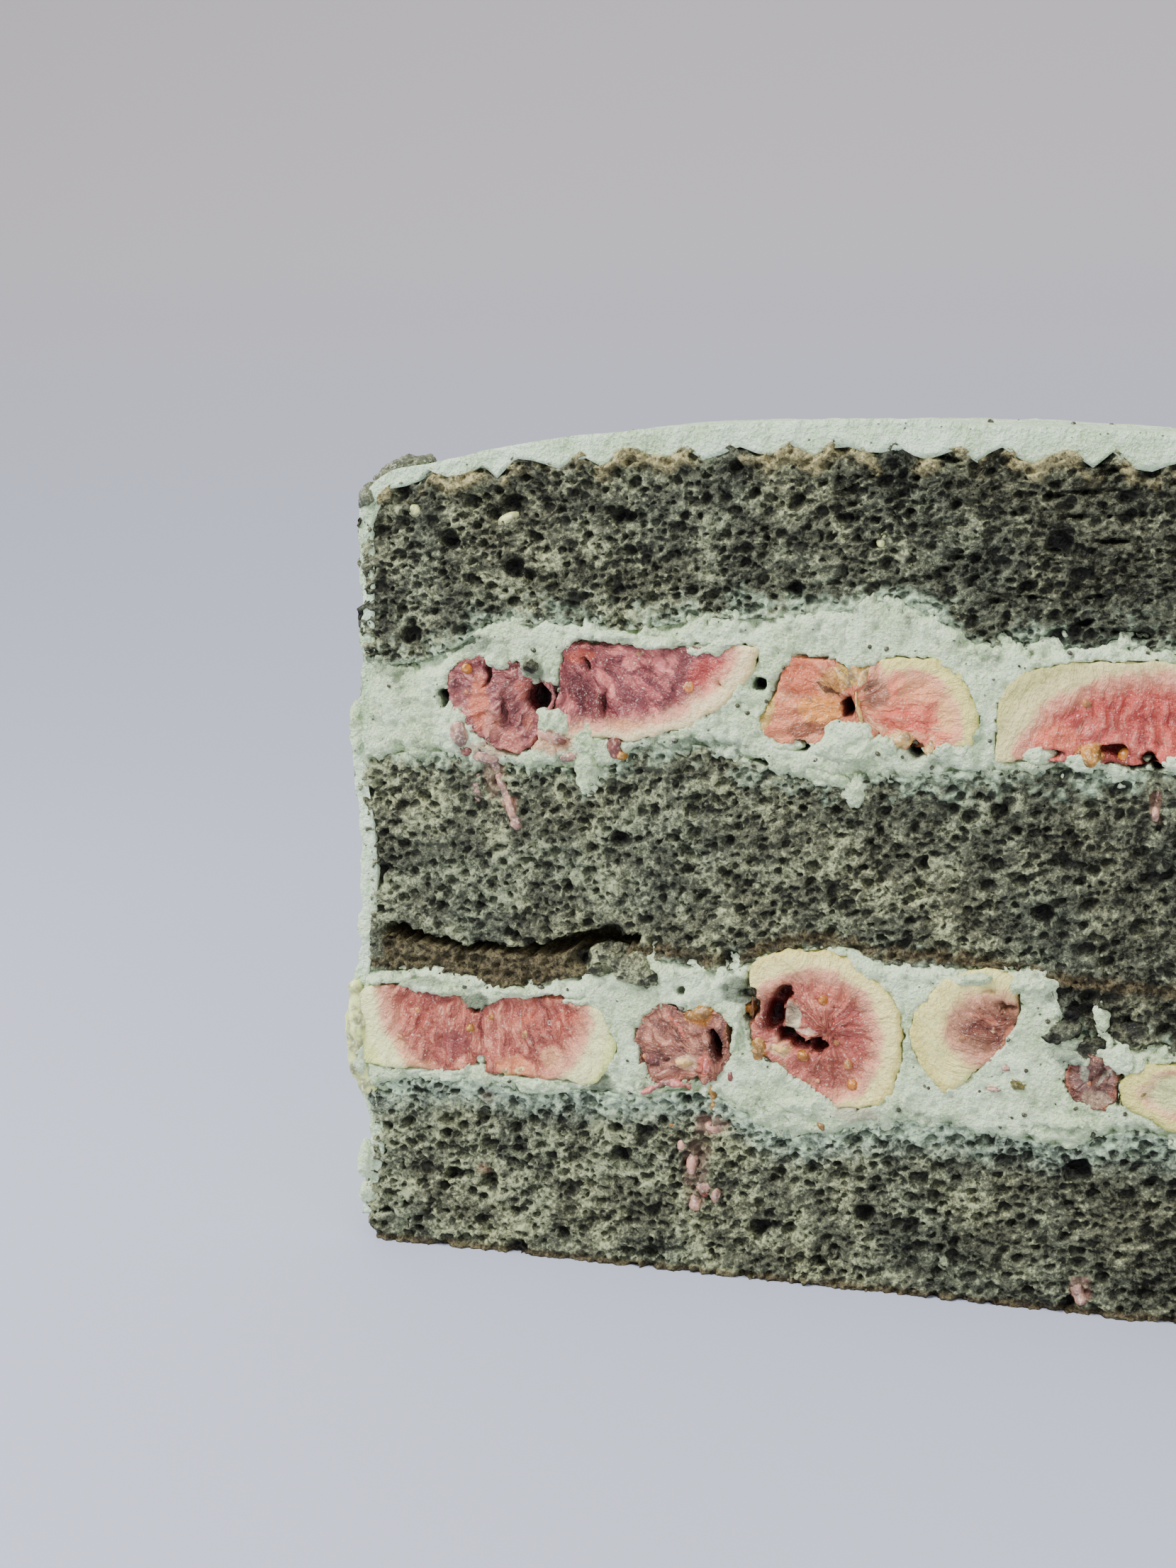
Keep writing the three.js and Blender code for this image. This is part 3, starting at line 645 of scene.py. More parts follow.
            [12.4, 32.6, 3.2, 3.6, (172, 122, 110), 0.6], [14.3, 33.9, 1.2, 0.9, (104, 50, 44), 0.85],
            [11.9, 35.9, 1.3, 0.8, (148, 98, 100), 0.7], [10.4, 34.2, 1.6, 1.6, (184, 132, 122), 0.5],
            [11.8, 32.4, 2.2, 0.35, (214, 178, 166), 0.7, -15],
            [10.4, 31.4, 1.8, 0.3, (140, 90, 82), 0.7, 20],
            [11.6, 29.7, 1.7, 1.1, (172, 138, 118), 0.5], [14.5, 30.2, 0.3, 1.8, (214, 174, 158), 0.7, -25],
            [12.4, 28.4, 1.8, 0.35, (212, 172, 160), 0.7, 20], [9.8, 25.8, 2.2, 2.2, (206, 194, 162), 0.8],
            [13.2, 24.5, 1, 0.4, (214, 176, 158), 0.7], [10.8, 26.2, 0.4, 1.4, (176, 164, 136), 0.6, -20]]},
    "fig_lower_front_5": {
        "deep": 4, "lobes": [[23.6, 26.4, 2.7, 3.1]], "hollows": [[24.4, 27.6, 0.7, 0.8, 0.6]],
        "heart": [23.6, 26.4], "rind": 0.2, "palette": "mauve", "colourPatches": [
            [23.6, 26.6, 2.4, 2.6, (172, 150, 144), 0.75], [24.2, 24.4, 1.8, 1, (196, 184, 172), 0.8],
            [22.6, 27.4, 0.4, 1.4, (206, 208, 198), 0.7, 20],
            [24.6, 26.8, 0.3, 1.2, (208, 206, 196), 0.6, -30]]},
    "fig_lower_front_6": {
        "deep": 8, "lobes": [[37, 25.6, 10.6, 4.3]], "trims": [[0, 28.7, 90]], "shell": (210, 206, 174),
        "hollows": [[40, 25.4, 1.8, 0.8, 2]], "heart": [38, 25.4], "twist": 0.03, "rind": 2.4,
        "palette": "rose", "colourPatches": [
            [30.5, 25.6, 5, 2.6, (206, 209, 184), 0.95], [27.6, 24.2, 1.8, 1.2, (206, 182, 152), 0.8]]},
    "fig_lower_front_7": {
        "deep": 9, "lobes": [[55, 27.4, 6.6, 5.8]], "trims": [[0, 31.9, 90], [0, 22, 270]],
        "hollows": [[54.6, 27, 1.3, 1.3, 2.5]], "heart": [54.6, 27], "twist": 0.04, "rind": 1.6,
        "palette": "coral"},
    "fig_upper_back_1": {
        "deep": 9, "lobes": [[-46.5, 65.8, 8, 6.4]], "trims": [[0, 61, 270]],
        "hollows": [[-46.8, 65.6, 1.8, 1.5, 3]], "heart": [-46.8, 65.6], "twist": 0.04, "rind": 1.6,
        "palette": "coral"},
    "fig_upper_back_2": {
        "deep": 12, "lobes": [[-20, 61.4, 13, 9.6]], "trims": [[0, 61.2, 270]],
        "hollows": [[-21, 62.2, 2.2, 1.2, 3]], "heart": [-21, 61], "rind": 2.2,
        "palette": "rose"},
    "fig_upper_back_3": {
        "deep": 10, "lobes": [[5.6, 66, 5.8, 5.2], [13.8, 65.6, 6.6, 6]],
        "trims": [[0, 70.6, 90], [0, 60.8, 270]],
        "hollows": [[9.6, 67, 0.8, 2.2, 3]], "heart": [9.6, 67], "rind": 1.5,
        "palette": "coral"},
    "fig_upper_back_4": {
        "deep": 12, "lobes": [[40, 71.2, 14, 10]], "trims": [[0, 70.9, 90]],
        "hollows": [[39, 67.2, 2.2, 1.7, 3]], "heart": [39, 67.2], "twist": 0.03, "rind": 1.8,
        "palette": "crimson"},
    "fig_lower_back_1": {
        "deep": 10, "lobes": [[-49, 27.8, 8.6, 6]], "trims": [[0, 22.6, 270]],
        "hollows": [[-48.6, 28, 2, 1.5, 3]], "heart": [-48.6, 28], "twist": 0.03, "rind": 1.8,
        "palette": "rose"},
    "fig_lower_back_2": {
        "deep": 10, "lobes": [[-27, 28, 8.8, 6.4]], "trims": [[-22.4, 29, 22], [0, 22.4, 270]],
        "hollows": [[-24.5, 29.4, 1.6, 0.8, 2]], "heart": [-25, 30], "twist": 0.06, "rind": 2.4,
        "palette": "mauve"},
    "fig_lower_back_3": {
        "deep": 12, "lobes": [[-2, 22.8, 13.4, 10.8]], "trims": [[0, 22.4, 270]],
        "hollows": [[-1, 24, 2.4, 1.2, 3]], "heart": [-1, 22], "rind": 2.2,
        "palette": "coral"},
    "fig_lower_back_4": {
        "deep": 7, "lobes": [[21.4, 28.4, 5, 4.6], [26, 27.2, 3, 3.4]],
        "hollows": [[25.4, 27.6, 1.3, 1.8, 3.5]], "heart": [25.4, 27.6], "rind": 0.6,
        "palette": "crimson"},
    "fig_lower_back_5": {
        "deep": 11, "lobes": [[45.6, 33.6, 11.8, 11]], "trims": [[0, 33.2, 90]],
        "hollows": [[45, 29, 2.6, 1.6, 4]], "heart": [45, 30], "twist": 0.02, "rind": 2.2,
        "palette": "rose"},
}


def figPiece(node, fig):
    side = -1 if "front" in node else 1
    words = node.split("_")
    lobes = []
    for x, z, wide, high in fig["lobes"]:
        bpy.ops.object.select_all(action="DESELECT")
        bpy.ops.mesh.primitive_uv_sphere_add(segments=72, ring_count=36, radius=1,
                                             location=(x * mm, side * cut * mm, z * mm))
        lobe = bpy.context.object
        lobe.scale = (wide * mm, fig["deep"] * mm, high * mm)
        lobes.append(lobe)
    only(*lobes)
    bpy.ops.object.transform_apply(location=True, rotation=True, scale=True)
    if len(lobes) > 1:
        bpy.ops.object.join()
    piece = bpy.context.object
    piece.name = words[0] + "".join(word.title() for word in words[1:])

    def sliced(graph, spot):  # what lies past the cut or a trim is pressed flat against it
        x, y, z = spot.split()
        if "square" in fig:
            lobeX, lobeZ, wide, high = fig["lobes"][0]
            across, up = ((x - lobeX) / wide).size(), ((z - lobeZ) / high).size()
            plain = (across * across + up * up).root().high(0.01)
            power = fig["square"]
            fuller = across.math("POWER", power) + up.math("POWER", power)
            fuller = fuller.math("POWER", 1 / power).high(0.01)
            x, z = lobeX + (x - lobeX) * plain / fuller, lobeZ + (z - lobeZ) * plain / fuller
        y = (y * side).low(cut + figCut["proud"]) * side
        for trimX, trimZ, way in fig.get("trims", []):
            outX, outZ = math.cos(math.radians(way)), math.sin(math.radians(way))
            past = ((x - trimX) * outX + (z - trimZ) * outZ).high(0)
            x, z = x - past * outX, z - past * outZ
        return graph.vector(x, y, z), {}

    shaped(piece, sliced)
    remeshed(piece, figCut["voxel"])
    lobeX, lobeZ, _, _ = fig["lobes"][0]
    heartX, heartZ = fig["heart"]
    reachOut = max(math.hypot(lobeX - heartX, lobeZ - heartZ), 4) / 0.8

    def fibred(graph, spot):
        x, y, z = spot.split()
        bentX, _, bentZ = graph.swirl(spot, 2.5, 0.5).split()
        skin = None
        for skinX, skinZ, wide, high in fig.get("skins", fig["lobes"]):
            aside, up = x - skinX, z - skinZ
            inward = (y * side - cut) / fig["deep"]
            far = (aside * aside + up * up).root()
            whole = aside * aside / (wide * wide) + up * up / (high * high) + inward * inward
            under = far / whole.root().high(0.05) - far
            skin = under if skin is None else skin.high(under)
        aside, up = bentX - heartX, bentZ - heartZ
        far = (aside * aside + up * up).root().high(0.01)
        way = up.math("ARCTAN2", aside) + far * fig.get("twist", 0)
        arcX, arcZ = way.math("COSINE") * reachOut, way.math("SINE") * reachOut
        strand = graph.noise(graph.vector(arcX, arcZ, far / 6), 0.62, 3.0, 0.6)
        bead = graph.cells(graph.vector(arcX, arcZ, far / 2), 1.2)
        hollow = pits(bentX, bentZ, fig["hollows"])
        face = (y * side).step(cut - 1.5, cut)
        flesh = skin.step(fig["rind"] * 0.7, fig["rind"] * 1.4)
        relief = ((strand - 0.5) * 1.5 + bead * 0.6) * flesh
        lumps = graph.sway(spot, 4, 2.0, 0.9)
        inwards = (hollow + relief + lumps + 0.1) * face
        wild = 1 if fig["rind"] > 1 else 1.9
        loose = graph.swirl(graph.swirl(spot, 3.2, 0.9 * wild), 1.0, 0.35 * wild)
        newX, _, newZ = loose.split()
        stored = {"skin": skin, "hollow": hollow, "arcX": arcX, "arcZ": arcZ, "far": far}
        return graph.vector(newX, y - inwards * side, newZ), stored

    shaped(piece, fibred)
    thinned(piece, figCut["behindShare"], lambda middle: middle.y * side < cut - 2.5)
    smoothed(piece)
    return piece


def figFinish(name, fig):
    flesh, dark, pale = palettes[fig["palette"]]
    material, graph, shader, place = newFinish(name)
    skin, hollow = graph.attribute("skin"), graph.attribute("hollow")
    arcX, arcZ, far = graph.attribute("arcX"), graph.attribute("arcZ"), graph.attribute("far")
    fine = graph.noise(place, 0.45, 3.0, 0.6)
    broad = graph.noise(place, 2.6, 3.0)
    strand = graph.noise(graph.vector(arcX, arcZ, far / 6), 0.62, 4.0, 0.65)
    bead = graph.cells(graph.vector(arcX, arcZ, far / 2), 1.2)
    depth = skin + (fine - 0.5) * 0.9 + (broad - 0.5) * 1.6
    tone = (strand - 0.5) * 2.2 + (broad - 0.5) * 1.2 + 0.5
    base = graph.mix(tone.step(0.05, 0.5), colour(*dark), colour(*flesh))
    base = graph.mix(tone.step(0.52, 1.0) * 0.9, base, colour(*pale))
    base = graph.mix((1 - bead.step(0.1, 0.42)) * 0.4, base, colour(*pale))
    base = withPatches(graph, place, base, fig.get("colourPatches", []))
    # painted highlights: small near-white glints mixed into the flesh colour
    paintedGlint = graph.noise(place, 0.32, 2.0, 0.6).step(0.62, 0.7)
    base = graph.mix(paintedGlint * 0.5, base, colour(238, 222, 214))
    # painted shade: the flesh is darkened with the depth of its hollows
    deepest = (dark[0] * 0.4, dark[1] * 0.4, dark[2] * 0.38)
    base = graph.mix(hollow.step(0.1, 1.4), base, colour(dark[0] * 0.8, dark[1] * 0.7, dark[2] * 0.68))
    base = graph.mix(hollow.step(1.4, 3.2), base, colour(*deepest))
    rind, shell = fig["rind"], fig.get("shell", (220, 214, 184))
    white = (1 - depth.step(rind * 0.6, rind)) * (rind > 1)
    if rind > 1:
        blush = 1 - depth.step(rind * 0.8, rind * 1.5 + 0.4)
        base = graph.mix(blush * 0.7, base, colour(222, 198, 184))
        pulp = graph.mix(fine.step(0.3, 0.7), colour(*shell), shifted(shell, 8, 8, 8))
        base = graph.mix(white, base, pulp)
        green = 1 - (skin + (fine - 0.5) * 0.5).step(0.1, 1.1)
        base = graph.mix(green * 0.6, base, shifted(shell, -14, -10, -20))
    height = fine * 1.0 + strand * 1.4 - bead * 0.8
    wired(graph, shader, base, height, [0.9, 0.5], 0.18 + white * 0.3, [0.15, 0.9, 0.4, 0.3])
    return material


figPieces = {}
for node, fig in figs.items():
    piece = figPiece(node, fig)
    placed(piece, figFinish(piece.name + "Flesh", fig), "fig", node)
    figPieces[node] = piece
print("figs made,", sum(len(piece.data.polygons) for piece in figPieces.values()), "faces")


# air holes are [x, z, half width, half height, deep] on the front cut
cream = {
    "columns": 420, "rows": 60, "over": 2.0, "under": 5.0, "margin": 0.8, "backShare": 0.6,
    "rayFrom": 4, "rayLength": 9,
    "holes": [[-49, 65.2, 0.9, 0.7, 2.6], [-49.2, 64.4, 0.5, 0.9, 1.6], [-36.7, 64.5, 0.9, 0.7, 3.4],
              [-13, 67.5, 0.8, 0.8, 2.6], [-12.9, 58.9, 1.1, 0.5, 2], [-21.5, 32.9, 0.6, 0.6, 1.4],
              [-14.2, 33.2, 0.9, 0.5, 1.4], [-13.9, 30.9, 0.8, 1.2, 2.4], [13.2, 65.4, 0.4, 0.9, 0.8],
              [4.1, 60.9, 1.1, 0.6, 2.6], [-8.6, 60.8, 1.3, 0.5, 2.6], [26.4, 60.4, 1.4, 0.6, 2.6],
              [29, 60.6, 1, 0.8, 3], [-33.4, 33.4, 0.7, 0.3, 1], [-38.4, 32.5, 0.5, 0.3, 1]],
    "colourPatches": [[-47.5, 71, 5, 1.2, (150, 160, 148), 0.6], [-45.4, 29.8, 1.6, 1.2, (120, 130, 112), 0.8],
               [-30.6, 21.4, 1.8, 1.2, (110, 120, 104), 0.8],
               [-52, 31.9, 3, 0.7, (160, 168, 148), 0.6], [-55.5, 68.4, 3, 1.6, (150, 160, 142), 0.6],
               [-15, 33.4, 2.4, 1.4, (112, 122, 104), 0.8], [-38.5, 68.4, 1.4, 1.6, (128, 136, 116), 0.8],
               [-36.4, 60.4, 3, 1.4, (216, 172, 156), 0.6], [-44, 59.2, 2.6, 1.0, (206, 172, 160), 0.5],
               [-20, 60.6, 4, 0.9, (150, 162, 148), 0.7], [10, 62.5, 1.2, 3, (176, 190, 168), 0.6],
               [21, 29.6, 2, 2, (150, 160, 146), 0.6], [-2, 20.6, 3, 1, (190, 176, 162), 0.5]],
}
only(*figPieces.values())
bpy.ops.object.duplicate()
bpy.ops.object.join()
figsTogether = bpy.context.object  # only tells the cream where the figs are


def coveredByFigs(graph, x, z, side):  # 1 where a fig hides the cream all round
    figShape = graph.node("GeometryNodeObjectInfo", {}, {"Object": figsTogether}, "Geometry")
    x, _, z = graph.swirl(graph.vector(x, side, z), 1.3, 0.4).split()
    hits = x * 0
    margin = cream["margin"]
    for aside, up in ((0, 0), (margin, 0), (-margin, 0), (0, margin), (0, -margin)):
        start = graph.vector((x + aside) * mm, side * (cut + cream["rayFrom"]) * mm, (z + up) * mm)
        hits = hits + graph.node("GeometryNodeRaycast", {}, {
            "Target Geometry": figShape, "Source Position": start,
            "Ray Direction": graph.vector(0, -side, 0), "Ray Length": cream["rayLength"] * mm}, "Is Hit")
    return (hits - 3.5).high(0) / 1.5  # 1 only where all five rays hit


def creamLayer(name, footName, topName, low, high):
    piece = block(name, cream["columns"], cream["rows"], 5, low, high)

    def build(graph, spot):
        x, y, z = spot.split()
        foot, top = line(footName, x, y), line(topName, x, y)
        over = cream["over"]
        overTop = over
        thin = x * 0
        if topName == "middleFoot":
            thin = x.step(-59, -57) * (1 - x.step(-31, -26)) + x.step(-15, -12) * (1 - x.step(14, 18)) * 1.2
            overTop = over - thin * (1 - y.step(-cut, 0)) * (over - 0.7)
        newX, newZ = laidOut(x, (z - low) / (high - low), foot - over, top + overTop)
        side = y.math("SIGN")
        face = y.size().step(cut - 2, cut)
        place = graph.vector(newX, y, newZ)
        past = (foot - newZ).high(newZ - top)
        loose = graph.swirl(place, 1.5, 0.8)
        ragged = graph.sway(loose, 3.2, 3.0, 6) + graph.sway(loose, 1.1, 3.0, 3.4)
        sink = (past + 0.7 + ragged * (1 - thin * 0.45)).high(0) * 0.8
        lumps = graph.sway(place, 3, 2.0, 1.3) + graph.sway(place, 0.9, 3.0, 1.5)
        cell = graph.cells(graph.swirl(place, 1, 0.3), 3.4)
        chance = cell.other("Color").split()[0]
        radius = chance * 0.14
        air = (radius * radius - cell * cell).high(0).root() * 3.4
        bentX, _, bentZ = graph.swirl(place, 1, 0.35).split()
        air = air.high(pits(bentX, bentZ, cream["holes"]) * (1 - y.step(-cut, 0)))
        inward = sink + lumps + air + 0.1
        inward = inward + coveredByFigs(graph, newX, newZ, side) * cream["under"]
        return graph.vector(newX, y - side * face * inward, newZ), {"air": air, "past": past}

    shaped(piece, build)
    thinned(piece, cream["backShare"], lambda middle: middle.y > cut - 8)
    return piece


def creamFinish(name, shade, colourPatches):
    material, graph, shader, place = newFinish(name)
    air, past = graph.attribute("air"), graph.attribute("past")
    fine = graph.noise(place, 0.35, 3.0, 0.65)
    broad = graph.noise(place, 5, 3.0)
    speck = graph.cells(graph.swirl(place, 0.6, 0.2), 1.3)
    chance = speck.other("Color").split()[0]
    dot = (1 - speck.step(0.04, 0.12)) * chance.step(0.35, 0.5)
    base = graph.mix(broad.step(0.3, 0.7), colour(*shade), shifted(shade, -16, -14, -20))
    base = graph.mix(fine.step(0.42, 0.7) * 0.75, base, shifted(shade, 14, 12, 14))
    base = graph.mix((1 - fine.step(0.25, 0.42)) * 0.5, base, shifted(shade, -44, -42, -46))
    crumby = graph.noise(place, 1.8, 4.0, 0.6).step(0.52, 0.7) * (past + broad * 3).step(-3.2, 0.6)
    base = graph.mix(crumby * 0.7, base, colour(122, 126, 114))
    base = withPatches(graph, place, base, colourPatches)
    base = graph.mix(dot * 0.8, base, colour(74, 80, 62))
    # painted shade: the air holes are darkened with their depth
    base = graph.mix(air.step(0.1, 0.9) * 0.75, base, colour(84, 88, 70))
    base = graph.mix(air.step(0.9, 2.0), base, colour(26, 26, 20))
    height = fine + graph.noise(place, 0.9, 2.0) * 1.6 - dot
    glint = graph.noise(place, 0.3, 1.0).step(0.58, 0.66)
    wired(graph, shader, base, height, [0.9, 0.55], 0.6 - glint * 0.4, [0.1, 0.5, 0.5, 0.4])
    return material


fillings = {
    "fillingUpper": ["middleTop", "topFoot", 58, 73, "filling_upper"],
    "fillingLower": ["bottomTop", "middleFoot", 20, 35, "filling_lower"],
}
creamMaterial = creamFinish("whipped cream", (212, 220, 205), cream["colourPatches"])
for name, (footName, topName, low, high, node) in fillings.items():
    piece = creamLayer(name, footName, topName, low, high)
    placed(piece, creamMaterial, "cream", node)
bpy.data.objects.remove(figsTogether)
print("fillings made")


# the coat is a sheet folded over the top and down both ends
coat = {"columns": 560, "rows": 92, "layers": 5, "drop": 82, "innerShare": 0.1}


def coatPiece():
    long = cake["width"] + 2 * coat["drop"]
    bpy.ops.object.select_all(action="DESELECT")
    bpy.ops.mesh.primitive_grid_add(x_subdivisions=coat["columns"], y_subdivisions=coat["rows"], size=1)
    piece = bpy.context.object
    piece.name = "creamCoat"
    piece.scale = (long * mm, cake["depth"] * mm, 1)
    bpy.ops.object.transform_apply(location=True, rotation=True, scale=True)
    bpy.ops.object.mode_set(mode="EDIT")
    bpy.ops.mesh.select_all(action="SELECT")
    for _ in range(coat["layers"]):
        bpy.ops.mesh.extrude_region_move(TRANSFORM_OT_translate={"value": (0, 0, -mm)})
    bpy.ops.mesh.select_all(action="SELECT")
    bpy.ops.mesh.normals_make_consistent(inside=False)
    bpy.ops.object.mode_set(mode="OBJECT")
    bpy.ops.object.shade_smooth()
    thinned(piece, coat["innerShare"], lambda middle: middle.z < 0.01 - coat["layers"])

    def build(graph, spot):
        x, y, z = spot.split()
        inner = -z / coat["layers"]
        topX = x.high(-half).low(half)
        topZ = line("cream", topX, y)
        topZ = topZ + (line("crust", topX, y) - 0.3 - topZ) * inner
        down = ((x.size() - half) / coat["drop"]).high(0)
        newZ = topZ + (cake["coatFoot"] - topZ) * down
        place = graph.vector(x, y, 0)
        strokes = graph.noise(graph.vector(x / 26, y / 5, 0), 1, 3.0) - 0.5
        lumps = graph.sway(place, 5, 3.0, 1.6) + graph.sway(place, 1.2, 3.0, 0.7)
        onSide = down.step(0.0, 0.02)
        proud = (strokes * 1.6 + lumps * (onSide * 0.9 + 0.5)) * (1 - inner)
        newX = topX / half * (reach(newZ) - inner * cake["coat"] + proud * onSide)
        newZ = newZ + proud * (1 - onSide) * 0.6
        face = y.size().step(cut - 1, cut)
        there = graph.vector(newX, y, newZ)
        cutLumps = graph.sway(there, 2.5, 3.0, 1.4) + graph.sway(there, 0.7, 3.0, 0.5)
        newY = y - y.math("SIGN") * face * (cutLumps + 0.35 + onSide * 0.5)
        return graph.vector(newX, newY, newZ.high(0)), {"air": x * 0, "past": x * 0 - 6}

    shaped(piece, build)
    return piece


piece = coatPiece()
placed(piece, creamFinish("green cream coat", (211, 220, 207), []), "frosting", "frosting")
print("coat made,", len(piece.data.polygons), "faces")


